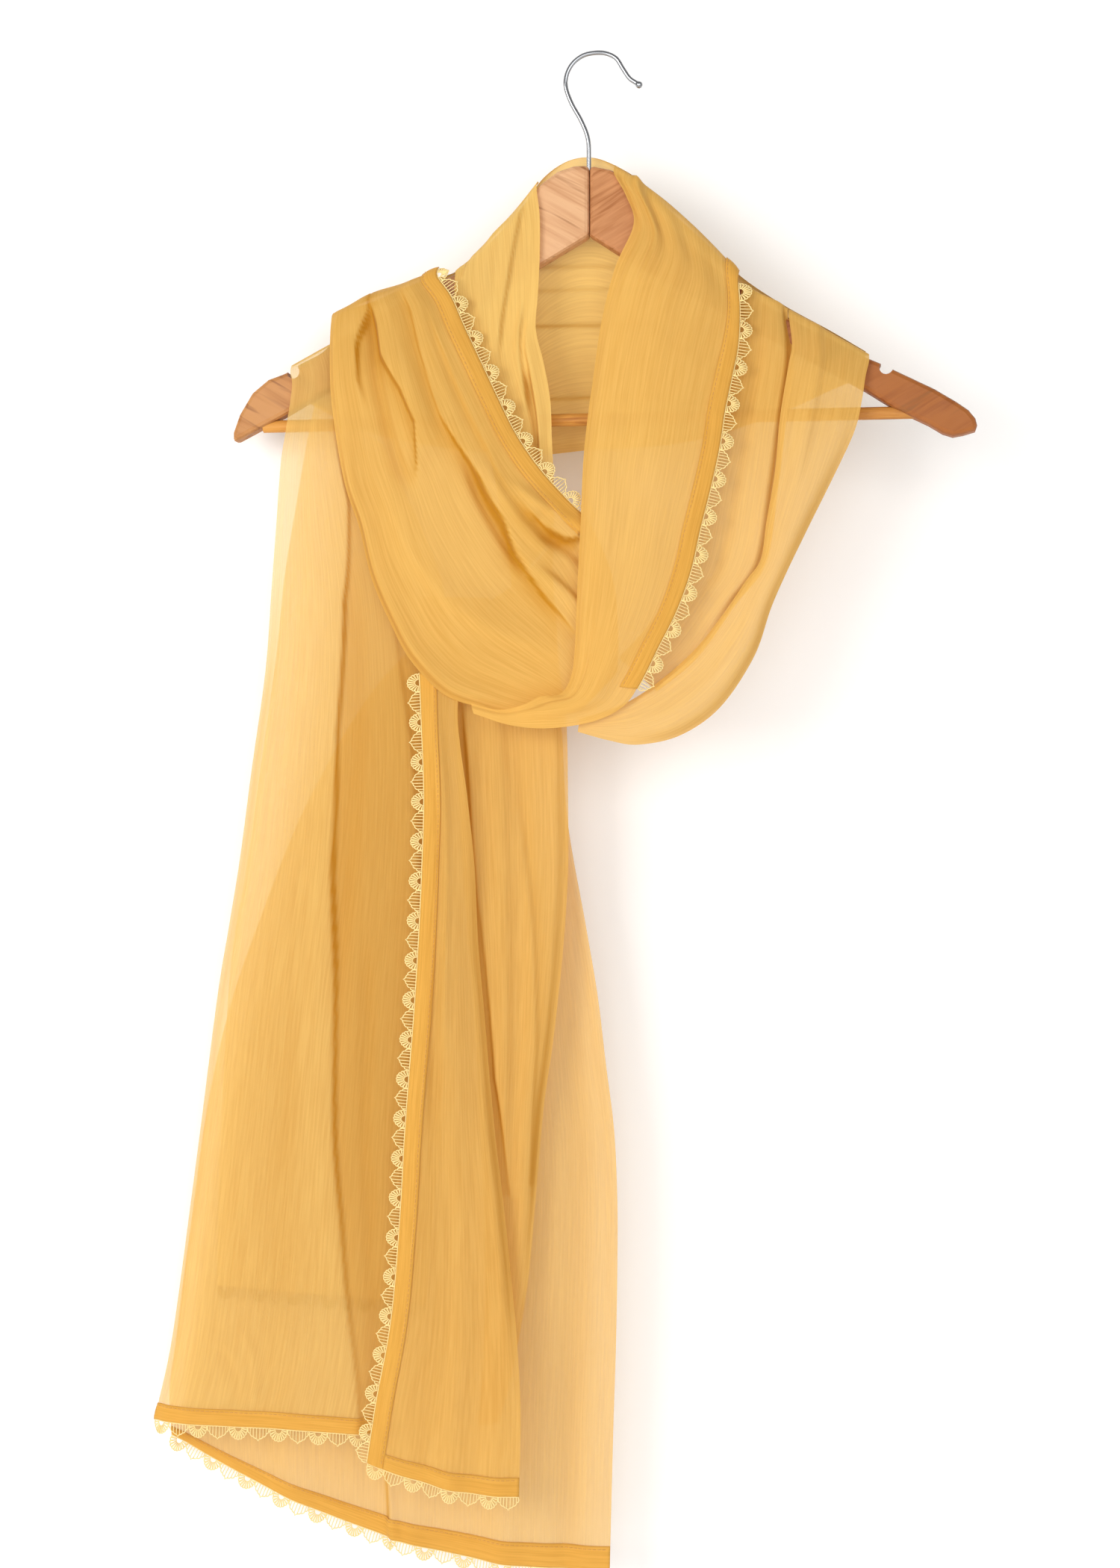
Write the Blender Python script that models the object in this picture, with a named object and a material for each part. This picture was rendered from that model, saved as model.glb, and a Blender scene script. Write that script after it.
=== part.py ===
"""A chiffon stole wound round a wooden hanger, with hemmed and laced edges.

Metres, +Z up, the front faces -Y. The origin is where the hook rests on its nail.
Every table below is in millimetres.
"""

import math
from collections import namedtuple

import bmesh
import bpy
from mathutils import Vector

MM = 0.001

# Cloth
WALL = 1.0
SEAM_GAP = 0.3
HEM_WIDTH = 10.0
HEM_WALL = 0.7
HEM_LIFT = WALL / 2 + SEAM_GAP + HEM_WALL / 2

# Lace
LACE_GAP = 0.5
LACE_WALL = 1.0
LACE_PITCH = 24.0
LACE_STEPS = 4
LACE_WIDTHS = (6.4, 7.6, 8.6, 7.6)

# How a fold fades at its ends, and how near two places are that give a slope
FOLD_FADE = 0.25
SLOPE_STEP = 0.002
NARROWEST_IN_HEMS = 2.2

# Hanger
WOOD_THICKNESS = 13.0
WOOD_ROUNDING = 2.6
ROUNDING_STEPS = 2
SHARPEST_ROUNDED = 60.0
BAR_RADIUS = 3.8
BAR_Z = -219.0
BAR_LEFT = -208.0
BAR_RIGHT = 188.0
SOCKET_LENGTH = 20.0
NOTCH_RADIUS = 4.0
WIRE_RADIUS = 1.4
SHANK_X = -6.5
SHANK_DEPTH = 12.0
WOOD_TOP_Z = -67.0
CUT_CLEARANCE = 3.0
ROUND_SIDES = 16
WIRE_SIDES = 8
WIRE_STEPS = 36

# A row of a stretch: its left edge, its right edge, how far the middle comes forward, how far it drops.
Row = namedtuple("Row", "left_x left_y left_z right_x right_y right_z bow dip")
# A fold's ridge, from start to end: across 0 is the left edge, along 0 is the first row.
Fold = namedtuple("Fold", "start_across end_across start_along end_along width height")
# A station of the cowl behind the hanger: its top edge, and its bottom edge.
Station = namedtuple("Station", "top_x top_y top_z bottom_x bottom_y bottom_z")

RIGHT_PANEL = [
    Row(10, 0, -67, 84, 0, -133.5, 0, -5),
    Row(10, -6, -68, 84, -8.5, -135, 0, -5),
    Row(10, -9, -74, 84, -12.5, -142, 0, -5),
    Row(17, -10, -87, 85, -14, -155, 1, -4),
    Row(22, -13, -105, 85, -16, -169, 2, -3),
    Row(11, -16, -131, 84, -18, -183, 3, -2),
    Row(3, -19, -163, 81, -21, -199, 4, 0),
    Row(-2, -23, -198, 77, -25, -220, 4, 0),
    Row(-5, -26, -223, 74, -28, -242, 4, 0),
    Row(-7, -30, -249, 69, -31, -266, 4, 0),
    Row(-8, -34, -283, 63, -34, -291, 4, 0),
    Row(-9, -36, -307, 58, -36, -314, 4, 0),
    Row(-10, -38, -335, 50, -38, -337, 4, 0),
    Row(-11, -39, -359, 39, -39, -359, 4, 0),
    Row(-13, -40, -375, 29, -39, -379, 3, 0),
    Row(-19, -40, -385, 19, -38, -393, 3, 1),
    Row(-31, -39, -387, 1, -37, -402, 2, 1),
    Row(-41, -38, -392, -26, -37, -406, 1, 0),
    Row(-56, -36, -395, -49, -36, -404, 0, 0),
    Row(-73, -34, -391, -71, -34, -397, 0, 0),
]
RIGHT_PANEL_FOLDS = [
    Fold(0.16, 0.22, 0.00, 0.75, 5, 4),
    Fold(0.42, 0.45, 0.00, 0.55, 8, 3),
    Fold(0.66, 0.60, 0.00, 0.80, 8, 2),
    Fold(0.45, 0.50, 0.60, 0.95, 6, 3),
    Fold(0.00, 0.00, 0.20, 0.95, 5, -3),
]

MID_RIGHT = [
    Row(87, 0, -140.5, 113.3, 0, -156, 0, 0),
    Row(87, -6, -141.5, 113.3, -6, -156.8, 0, 0),
    Row(86, -9, -147, 113.5, -7.7, -161.5, 0, 0),
    Row(78, -10, -186, 117, -10, -187, 0, 0),
    Row(70, -13, -227, 112, -14, -228, 0, 0),
    Row(62, -16, -262, 108, -17, -263, 0, 0),
    Row(52, -19, -306, 101, -20, -308, 0, 0),
    Row(43, -20, -328, 83, -21, -333, 0, 0),
    Row(29, -21, -348, 61, -22, -364, 0, 0),
    Row(14, -21, -364, 37, -22, -384, 0, 0),
]
MID_RIGHT_FOLDS = [
    Fold(0.62, 0.55, 0.05, 0.90, 6, 2),
    Fold(0.95, 0.95, 0.10, 0.90, 5, -1.5),
]

RIGHT_LOOP = [
    Row(114, 0, -156.5, 161, 0, -185, 0, 0),
    Row(114, -6, -157, 161, -6, -185, 0, 0),
    Row(114, -9, -162, 161, -9, -190, 0, 0),
    Row(116, -12, -179, 159, -11, -199, 1, 0),
    Row(114, -15, -192, 157, -13, -213, 2, 0),
    Row(109, -19, -223, 153, -16, -232, 3, 0),
    Row(106, -22, -255, 141, -19, -260, 3, 0),
    Row(101, -25, -286, 126, -22, -291, 3, 0),
    Row(98, -27, -307, 115, -24, -314, 3, 0),
    Row(89, -28, -320, 106, -25, -335, 3, 0),
    Row(76, -29, -339, 96, -27, -364, 3, 0),
    Row(60, -30, -359, 76, -29, -394, 3, 0),
    Row(40, -31, -377, 52, -30, -411, 3, 0),
    Row(23, -32, -389, 27, -31, -416, 2, 0),
    Row(7, -32, -396, 9, -32, -413, 1, 0),
    Row(-8, -32, -400, -9, -32, -408, 0, 0),
]
RIGHT_LOOP_FOLDS = [
    Fold(0.38, 0.42, 0.00, 0.45, 5, 3),
    Fold(0.70, 0.60, 0.35, 0.95, 6, 3),
    Fold(0.00, 0.00, 0.25, 0.95, 4, -2),
    Fold(1.00, 1.00, 0.25, 0.95, 5, -4),
]

LEFT_DRAPE = [
    Row(-163, 0, -151, -97, 0, -125.5, 0, 0),
    Row(-163, -6, -152, -97, -8, -127, 0, 0),
    Row(-163, -10, -157, -97, -12.5, -133, 0, 0),
    Row(-163, -13, -172, -88, -15.5, -146, 1, 0),
    Row(-162, -15, -202, -80, -17, -164, 2, 0),
    Row(-158, -16, -234, -70, -19, -185, 3, 0),
    Row(-153, -18, -261, -59, -21, -208, 4, 0),
    Row(-145, -20, -284, -49, -23, -228, 4, 0),
    Row(-137, -22, -315, -38, -25, -245, 4, 0),
    Row(-124, -24, -344, -26, -26, -260, 4, 0),
    Row(-112, -25, -365, -15, -25, -272, 4, 0),
    Row(-92, -26, -385, -3, -23, -285, 4, 0),
    Row(-70, -27, -393, 6, -22, -303, 3, 0),
    Row(-47, -27, -398, 12, -22, -324, 2, 0),
    Row(-25, -27, -399, 14, -24, -351, 1, 0),
    Row(-7, -27, -395, 14, -27, -373, 0, 0),
]
LEFT_DRAPE_FOLDS = [
    Fold(0.08, 0.07, 0.00, 0.85, 6, 3),
    Fold(0.30, 0.18, 0.00, 0.30, 4, 5),
    Fold(0.36, 0.52, 0.00, 0.34, 5, 6),
    Fold(0.52, 0.40, 0.30, 0.44, 6, 4),
    Fold(0.73, 0.61, 0.02, 0.82, 5, 6),
    Fold(0.90, 0.72, 0.10, 0.86, 4, 4),
    Fold(0.24, 0.28, 0.38, 0.92, 7, 3),
    Fold(0.44, 0.45, 0.46, 0.95, 6, 3),
    Fold(0.88, 0.86, 0.56, 0.92, 5, 3),
    Fold(0.00, 0.00, 0.30, 0.95, 5, -4),
]

NECK_BAND = [
    Row(-87, 0, -127, -37, 0, -75, 0, 3),
    Row(-87, -6, -128, -37, -6, -76, 0, 3),
    Row(-87, -9, -134, -37, -9, -82, 0, 3),
    Row(-87, -9, -146, -35, -10, -98, 0, 2),
    Row(-84, -9, -164, -35, -10, -123, 0, 1),
    Row(-80, -10, -187, -36, -11, -145, 0, 0),
    Row(-74, -10, -210, -37, -12, -166, 0, 0),
    Row(-68, -11, -232, -32, -13, -187, 0, 0),
    Row(-62, -12, -255, -28, -14, -209, 0, 0),
    Row(-58, -12, -277, -27, -14, -233, 0, 0),
    Row(-54, -11, -300, -26, -13, -260, 0, 0),
    Row(-52, -10.5, -321, -26, -12.5, -291, 0, 0),
]
NECK_BAND_FOLDS = [
    Fold(0.90, 0.42, 0.02, 0.62, 4, 4),
    Fold(0.55, 0.10, 0.02, 0.60, 5, 2),
    Fold(0.80, 0.75, 0.45, 0.95, 4, 3),
]

TAIL_FRONT_LEFT = [
    Row(-189, 0, -182, -152, 0, -163, 0, 0),
    Row(-189, -6, -183, -152, -6, -164, 0, 0),
    Row(-189, -9, -188, -152, -8.5, -169, 0, 0),
    Row(-188, -9, -197, -148, -8.5, -185, 0, 0),
    Row(-192, -9, -224, -147, -8.5, -216, 0, 0),
    Row(-195, -9, -244, -140, -9, -244, 1, 0),
    Row(-198, -10, -288, -126, -10, -280, 2, 0),
    Row(-201, -11, -324, -112, -11, -321, 3, 0),
    Row(-205, -12, -369, -104, -12, -369, 3, 0),
    Row(-213, -13, -425, -98, -13, -425, 4, 0),
    Row(-221, -13, -484, -98, -13, -484, 4, 0),
    Row(-228, -13, -526, -100, -13, -526, 4, 0),
    Row(-235, -13, -567, -103, -13, -567, 4, 0),
    Row(-246, -13, -650, -109, -13, -650, 4, 0),
    Row(-253, -13, -702, -112, -12, -704, 4, 0),
    Row(-260, -13, -754, -116, -11, -756, 3, 0),
    Row(-266, -13, -791, -121, -10, -796, 3, 0),
    Row(-275, -13, -829, -128, -10, -833, 3, 0),
]
TAIL_FRONT_LEFT_FOLDS = [
    Fold(0.45, 0.22, 0.00, 0.70, 6, 3),
    Fold(0.11, 0.17, 0.35, 1.00, 10, 2),
    Fold(0.34, 0.47, 0.60, 1.00, 12, -2),
    Fold(0.50, 0.45, 0.36, 0.66, 6, 4),
    Fold(0.42, 0.89, 0.54, 1.00, 6, 4),
    Fold(0.00, 0.00, 0.35, 1.00, 6, -4),
]

TAIL_HIDDEN = [
    Row(-174, -7.5, -206, -132, -6.8, -232, 0, 0),
    Row(-180, -7.6, -236, -120, -7.0, -258, 0, 0),
    Row(-186, -7.4, -270, -104, -7.8, -292, 0, 0),
    Row(-193, -6.5, -310, -94, -8.4, -322, 0, 0),
    Row(-199, -4.5, -360, -91, -6.8, -365, 0, 0),
    Row(-209, -2, -425, -92, -4.5, -427, 0, 0),
    Row(-219, 0, -490, -92, -3, -489, 0, 0),
    Row(-229, 0, -550, -94, -3, -549, 0, 0),
    Row(-235, 0, -646, -96, -3, -643, 0, 0),
    Row(-237, 0, -711, -102, -3, -706, 0, 0),
    Row(-238, 0, -748, -106, -3, -755, 0, 0),
]
TAIL_HIDDEN_FOLDS = [
    Fold(0.45, 0.72, 0.25, 0.95, 7, 2),
    Fold(0.75, 0.90, 0.25, 0.70, 6, 2),
]

TAIL_FRONT_RIGHT = [
    Row(-108, -16, -326, -64, -15.2, -327, 0, 0),
    Row(-107, -18.5, -362, -77, -17.5, -363, 0, 0),
    Row(-105, -21, -394, -83, -21.5, -396, 0, 0),
    Row(-103, -22, -445, -77, -21, -448, 0, 0),
    Row(-104, -22, -484, -73, -21, -488, 0, 0),
    Row(-106, -22, -528, -71, -21, -532, 0, 0),
    Row(-109, -22, -576, -67, -20, -577, 1, 0),
    Row(-112, -22, -613, -64, -20, -613, 1, 0),
    Row(-115, -22, -654, -60, -20, -652, 2, 0),
    Row(-117, -22, -690, -55, -20, -693, 2, 0),
    Row(-121, -22, -742, -50, -20, -742, 2, 0),
    Row(-125, -22, -773, -47, -20, -775, 2, 0),
    Row(-132, -22, -809, -45, -20, -815, 2, 2),
    Row(-138, -22, -847, -46, -20, -864, 2, 4),
]
TAIL_FRONT_RIGHT_FOLDS = [
    Fold(0.62, 0.55, 0.25, 1.00, 6, 3),
    Fold(0.35, 0.34, 0.45, 1.00, 6, -2),
    Fold(0.85, 0.84, 0.50, 1.00, 6, 2),
    Fold(1.00, 1.00, 0.20, 0.92, 4, -3),
]

TAIL_RIGHT = [
    Row(-66, -14, -335, -27.5, -12.8, -305, 0, 0),
    Row(-80, -13.3, -352, -25, -12, -335, 0, 0),
    Row(-84, -12, -372, -23, -13, -368, 0, 0),
    Row(-80, -11, -398, -19, -12, -401, 0, 0),
    Row(-78, -11, -447, -18, -12, -447, 0, 0),
    Row(-77, -11, -490, -18, -12, -490, 0, 0),
    Row(-75, -11, -538, -21, -12, -538, 0, 0),
    Row(-74, -10, -593, -27, -11, -592, 0, 0),
    Row(-72, -9, -634, -33, -9, -633, 0, 0),
    Row(-70, -7, -687, -38, -7, -686, 0, 0),
    Row(-69, -7, -741, -43, -7, -740, 0, 0),
    Row(-70, -7, -790, -51, -7, -788, 0, 0),
    Row(-73, -8, -826, -60, -8, -824, 0, 0),
]
TAIL_RIGHT_FOLDS = [
    Fold(0.30, 0.35, 0.05, 0.80, 4, 3),
    Fold(0.62, 0.65, 0.10, 0.90, 5, 3),
    Fold(1.00, 1.00, 0.05, 0.95, 4, -3),
]

TAIL_BACK = [
    Row(-54, -9.2, -324.4, -26.5, -11.6, -294.2, 0, 0),
    Row(-92, -5, -341, -27, -9.8, -322, 0, 0),
    Row(-126, 1.5, -366, -26, -3, -360, 0, 0),
    Row(-155, 6, -402, -23, 3, -407, 0, 0),
    Row(-189, 11, -462, -20, 8, -462, 0, 0),
    Row(-215, 12, -527, -9, 9, -525, 0, 0),
    Row(-230, 12, -570, -2, 10, -567, 0, 0),
    Row(-241, 12, -612, 3, 10, -608, 0, 0),
    Row(-249, 12, -654, 8, 10, -648, 0, 0),
    Row(-256, 12, -705, 10, 10, -690, 0, 0),
    Row(-262, 12, -747, 10, 10, -731, 0, 0),
    Row(-267, 12, -787, 9, 10, -778, 0, 2),
    Row(-271, 12, -816, 7, 10, -837, 0, 10),
    Row(-269, 10, -843, 5, 10, -916, 0, 21),
]
TAIL_BACK_FOLDS = [
    Fold(0.30, 0.28, 0.10, 1.00, 12, 3),
    Fold(0.55, 0.55, 0.15, 1.00, 14, 4),
    Fold(0.80, 0.76, 0.15, 1.00, 10, 4),
    Fold(0.92, 0.90, 0.20, 1.00, 9, -3),
    Fold(0.00, 0.00, 0.30, 1.00, 6, 3),
    Fold(1.00, 1.00, 0.10, 0.95, 6, 3),
]

BACK_COWL = [
    Station(-187, 0.9, -182, -183, 10, -203),
    Station(-168, 0.9, -171, -165, 12, -213),
    Station(-161, 0.9, -151, -156, 13, -218),
    Station(-140, 0.9, -144, -138, 14, -224),
    Station(-112, 0.9, -133, -110, 15, -230),
    Station(-88, 0.9, -127, -87, 16, -234),
    Station(-67, 0.9, -110, -63, 17, -236),
    Station(-47, 2.5, -88, -43, 18, -238),
    Station(-35, 5, -71, -31, 19, -237),
    Station(-21, 7, -61, -20, 19, -236),
    Station(-7, 7, -59, -8, 19, -235),
    Station(7, 5, -64, 5, 19, -235),
    Station(25, 2, -76, 24, 18, -234),
    Station(42, 0.9, -94, 42, 17, -233),
    Station(63, 0.9, -113.5, 65, 16, -229),
    Station(86, 0.9, -136, 92, 15, -221),
    Station(112, 0.9, -154, 117, 13, -212),
    Station(138, 0.9, -169, 140, 12, -202),
    Station(159, 0.9, -182, 160, 10, -195),
]
BACK_COWL_BEHIND_Y = 8.8
BACK_COWL_BEHIND_DROP = 6.0
BACK_COWL_WRAP = 0.25
BACK_COWL_WRAP_COLUMNS = 3
BACK_COWL_COLUMNS = 9
BACK_COWL_LINES = 24
BACK_COWL_FOLDS = [
    Fold(0.42, 0.42, 0.30, 0.75, 5, 4),
    Fold(0.56, 0.55, 0.15, 0.90, 5, 4),
    Fold(0.74, 0.72, 0.10, 0.92, 7, 5),
    Fold(1.00, 1.00, 0.10, 0.92, 5, -4),
]

# A stretch: its tables, its grid's columns and lines, and which of its edges are hemmed.
Stretch = namedtuple("Stretch", "name rows folds columns lines left_hem right_hem bottom_hem")
STRETCHES = [
    Stretch("right_panel", RIGHT_PANEL, RIGHT_PANEL_FOLDS, 12, 28, False, True, False),
    Stretch("mid_right", MID_RIGHT, MID_RIGHT_FOLDS, 7, 14, False, False, False),
    Stretch("right_loop", RIGHT_LOOP, RIGHT_LOOP_FOLDS, 10, 26, False, False, False),
    Stretch("left_drape", LEFT_DRAPE, LEFT_DRAPE_FOLDS, 20, 26, False, True, False),
    Stretch("neck_band_left", NECK_BAND, NECK_BAND_FOLDS, 10, 18, False, False, False),
    Stretch("tail_front_left", TAIL_FRONT_LEFT, TAIL_FRONT_LEFT_FOLDS, 17, 20, False, False, True),
    Stretch("tail_hidden", TAIL_HIDDEN, TAIL_HIDDEN_FOLDS, 8, 12, False, False, True),
    Stretch("tail_front_right", TAIL_FRONT_RIGHT, TAIL_FRONT_RIGHT_FOLDS, 7, 20, True, False, True),
    Stretch("tail_right", TAIL_RIGHT, TAIL_RIGHT_FOLDS, 8, 12, False, False, False),
    Stretch("tail_back", TAIL_BACK, TAIL_BACK_FOLDS, 16, 16, False, False, True),
]
# Which lines or columns of a stretch's grid carry a hem or lace.
RIGHT_PANEL_HEMMED = slice(1, 22)
RIGHT_PANEL_LACED = slice(3, 22)
LEFT_DRAPE_HEMMED = slice(1, 20)
LEFT_DRAPE_LACED = slice(2, 20)
TAIL_SIDE_HEMMED = slice(2, None)
TAIL_SIDE_LACED = slice(2, -1)
HEM_ON_LEFT = slice(0, 3)
HEM_ON_RIGHT = slice(-3, None)
HEM_AT_BOTTOM = slice(-3, None)
BESIDE_LEFT_HEM = slice(2, None)

WOOD_LEFT = [
    (-5.8, -67), (-15, -67), (-25, -70), (-36, -78), (-46, -92), (-57, -104), (-67, -114),
    (-88, -130), (-111, -140), (-140, -157), (-167, -173), (-181, -182), (-195, -188),
    (-204, -191), (-214, -199), (-222, -212), (-226, -223), (-226, -229), (-210, -221),
    (-194, -213), (-36, -126), (-5.8, -109),
]
WOOD_RIGHT = [
    (-5.4, -67), (7, -70), (19, -76), (28, -85), (39, -100), (52, -114), (63, -124),
    (80, -140), (104, -156), (121, -166), (138, -175), (158, -186), (167, -190), (175, -194),
    (199, -206), (212, -214), (219, -219), (223, -224), (224, -228), (223, -231), (216, -233),
    (210, -234), (204, -232), (196, -227), (176, -217), (159, -206), (11, -120), (-5.4, -109),
]
NOTCHES = ((-188, -187), (171, -193))
HOOK_PATH = [
    (-6.5, -78), (-6.5, -64), (-7, -50), (-11, -39), (-17, -28), (-20.5, -18), (-20, -10.5),
    (-16.5, -4), (-10.5, 0.5), (-3.5, 2), (3.5, 1.5), (10, -1.8), (14, -8), (18, -14), (22, -17),
]
HOOK_BALL_RADIUS = 2.2
# How far the rings of the ball lie past the wire's end, and their size, both in radii of the ball.
HOOK_BALL = [(0.45, 0.85), (0.85, 0.98), (1.3, 0.95), (1.8, 0.7), (2.05, 0.35)]

CHIFFON = ((0.73, 0.41, 0.11, 1.0), 0.75, 0.0)
HEM_CLOTH = ((0.78, 0.39, 0.07, 1.0), 0.7, 0.0)
LACE_THREAD = ((0.95, 0.83, 0.40, 1.0), 0.6, 0.0)
WOOD = ((0.55, 0.30, 0.15, 1.0), 0.4, 0.0)
BAR_WOOD = ((0.48, 0.24, 0.09, 1.0), 0.45, 0.0)
CHROME = ((0.72, 0.73, 0.75, 1.0), 0.18, 1.0)


def clear_scene():
    """Removes what a new Blender file holds."""
    for obj in list(bpy.data.objects):
        bpy.data.objects.remove(obj, do_unlink=True)


def give_material(obj, look):
    """A plain material of its own: colour, roughness, metallic."""
    colour, roughness, metallic = look
    material = bpy.data.materials.new(obj.name + "_material")
    material.use_nodes = True
    shader = material.node_tree.nodes["Principled BSDF"]
    shader.inputs["Base Color"].default_value = colour
    shader.inputs["Roughness"].default_value = roughness
    shader.inputs["Metallic"].default_value = metallic
    obj.data.materials.append(material)


def new_object(name, points, faces, look, smooth=True):
    """A closed mesh from points in millimetres, its faces turned outwards."""
    mesh = bpy.data.meshes.new(name)
    mesh.from_pydata([Vector(p) * MM for p in points], [], faces)
    mesh.validate()
    work = bmesh.new()
    work.from_mesh(mesh)
    bmesh.ops.recalc_face_normals(work, faces=work.faces)
    work.to_mesh(mesh)
    work.free()
    for polygon in mesh.polygons:
        polygon.use_smooth = smooth
    obj = bpy.data.objects.new(name, mesh)
    bpy.context.scene.collection.objects.link(obj)
    give_material(obj, look)
    return obj


def spline(values, t):
    """A smooth curve through evenly spaced values, at t from 0 to 1."""
    spans = len(values) - 1
    i = min(int(t * spans), spans - 1)
    f = t * spans - i
    b, c = values[i], values[i + 1]
    a = values[i - 1] if i else 2 * b - c
    d = values[i + 2] if i + 2 <= spans else 2 * c - b
    slope_b = (c - a) / 2
    slope_c = (d - b) / 2
    cubic = 2 * b - 2 * c + slope_b + slope_c
    square = 3 * c - 3 * b - 2 * slope_b - slope_c
    return b + f * (slope_b + f * (square + f * cubic))


def smooth_step(t):
    """Rises softly from 0 to 1."""
    t = max(0.0, min(1.0, t))
    return t * t * (3 - 2 * t)


def row_at(rows, along):
    return [spline(column, along) for column in zip(*rows)]


def fold_height(folds, across, along, breadth):
    """How far the folds lift the cloth here, in millimetres."""
    total = 0.0
    for fold in folds:
        reach = fold.end_along - fold.start_along
        t = (along - fold.start_along) / reach
        if not 0 <= t <= 1:
            continue
        fade_in = 1.0 if fold.start_along == 0 else smooth_step(t / FOLD_FADE)
        fade_out = 1.0 if fold.end_along == 1 else smooth_step((1 - t) / FOLD_FADE)
        ridge = fold.start_across + (fold.end_across - fold.start_across) * t
        away = (across - ridge) * breadth / fold.width
        total += fold.height * fade_in * fade_out * math.exp(-away * away)
    return total


def stretch_base(rows, across, along):
    """A place on a stretch before its folds."""
    lx, ly, lz, rx, ry, rz, bow, dip = row_at(rows, along)
    left, right = Vector((lx, ly, lz)), Vector((rx, ry, rz))
    arch = 4 * across * (1 - across)
    return left.lerp(right, across) + Vector((0, -bow * arch, -dip * arch))


def stretch_breadth(rows, along):
    return (stretch_base(rows, 1, along) - stretch_base(rows, 0, along)).length


def cowl_base(stations, across, along):
    """A place on the cowl before its folds: a quarter turn over the wood, then down."""
    tx, ty, tz, bx, by, bz = row_at(stations, along)
    top = Vector((tx, ty, tz))
    behind = Vector((tx, BACK_COWL_BEHIND_Y, tz - BACK_COWL_BEHIND_DROP))
    bottom = Vector((bx, by, bz))
    if across < BACK_COWL_WRAP:
        turn = math.pi / 2 * across / BACK_COWL_WRAP
        return Vector((
            tx,
            ty + (behind.y - ty) * math.sin(turn),
            tz - BACK_COWL_BEHIND_DROP * (1 - math.cos(turn)),
        ))
    return behind.lerp(bottom, (across - BACK_COWL_WRAP) / (1 - BACK_COWL_WRAP))


def cowl_breadth(stations, along):
    length = (cowl_base(stations, 1, along) - cowl_base(stations, BACK_COWL_WRAP, along)).length
    return length / (1 - BACK_COWL_WRAP)


def surface(base, breadth, rows, folds, acrosses, alongs):
    """The middle surface of a stretch as a grid of points, and the normals towards the viewer."""
    def normal(across, along):
        a = min(max(across, SLOPE_STEP), 1 - SLOPE_STEP)
        b = min(max(along, SLOPE_STEP), 1 - SLOPE_STEP)
        side = base(rows, a + SLOPE_STEP, b) - base(rows, a - SLOPE_STEP, b)
        down = base(rows, a, b + SLOPE_STEP) - base(rows, a, b - SLOPE_STEP)
        return down.cross(side).normalized()

    points = []
    for along in alongs:
        wide = breadth(rows, along)
        line = []
        for across in acrosses(along):
            height = fold_height(folds, across, along, wide)
            line.append(base(rows, across, along) + normal(across, along) * height)
        points.append(line)
    return points, grid_normals(points)


def grid_normals(points):
    """The direction towards the viewer at each point of a grid."""
    normals = []
    last_row, last_column = len(points) - 1, len(points[0]) - 1
    for i in range(len(points)):
        line = []
        for j in range(len(points[0])):
            down = points[min(i + 1, last_row)][j] - points[max(i - 1, 0)][j]
            side = points[i][min(j + 1, last_column)] - points[i][max(j - 1, 0)]
            line.append(down.cross(side).normalized())
        normals.append(line)
    return normals


def wall_object(name, points, normals, wall, look):
    """A closed wall of this thickness round a grid of middle points."""
    rows, columns = len(points), len(points[0])
    front = [p + n * wall / 2 for line, ns in zip(points, normals) for p, n in zip(line, ns)]
    back = [p - n * wall / 2 for line, ns in zip(points, normals) for p, n in zip(line, ns)]
    half = rows * columns
    faces = []
    for i in range(rows - 1):
        for j in range(columns - 1):
            a, b = i * columns + j, i * columns + j + 1
            c, d = b + columns, a + columns
            faces.append((a, d, c, b))
            faces.append((half + a, half + b, half + c, half + d))
    rim = list(range(columns))
    rim += [i * columns + columns - 1 for i in range(1, rows)]
    rim += [(rows - 1) * columns + j for j in range(columns - 2, -1, -1)]
    rim += [i * columns for i in range(rows - 2, 0, -1)]
    for a, b in zip(rim, rim[1:] + rim[:1]):
        faces.append((a, b, half + b, half + a))
    return new_object(name, front + back, faces, look)


def evenly(count):
    return [i / count for i in range(count + 1)]


def columns_with_hem(rows, count, left_hem=False, right_hem=False):
    """Where the columns stand across a row, with two of them inside each hem."""

    def acrosses(along):
        breadth = max(stretch_breadth(rows, along), NARROWEST_IN_HEMS * HEM_WIDTH)
        half_hem = HEM_WIDTH / 2 / breadth
        start = 2 * half_hem if left_hem else 0
        end = 1 - 2 * half_hem if right_hem else 1
        middle = [start + (end - start) * t for t in evenly(count)]
        left = [0, half_hem] if left_hem else []
        right = [1 - half_hem, 1] if right_hem else []
        return left + middle + right
    return acrosses


def rows_with_hem(rows, count):
    """Where the rows stand along a tail, with two of them inside the bottom hem."""
    step = 10 * SLOPE_STEP
    length = (stretch_base(rows, 0.5, 1) - stretch_base(rows, 0.5, 1 - step)).length / step
    half_hem = HEM_WIDTH / 2 / length
    end = 1 - 2 * half_hem
    return [end * t for t in evenly(count)] + [1 - half_hem, 1]


def moved_out(points, normals, lift):
    return [[p + n * lift for p, n in zip(line, ns)] for line, ns in zip(points, normals)]


def hem_strip(name, grid, pick_rows, pick_columns, inset=0.0):
    """A strip of folded cloth on the front of a stretch, made from its points, moved out."""
    points, normals = grid
    rows = range(len(points))[pick_rows]
    columns = range(len(points[0]))[pick_columns]
    part = [[points[i][j] for j in columns] for i in rows]
    part_normals = [[normals[i][j] for j in columns] for i in rows]
    for line in part:
        line[0] = line[0] + (line[1] - line[0]).normalized() * inset
    lifted = moved_out(part, part_normals, HEM_LIFT)
    return wall_object(name, lifted, part_normals, HEM_WALL, HEM_CLOTH)


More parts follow.
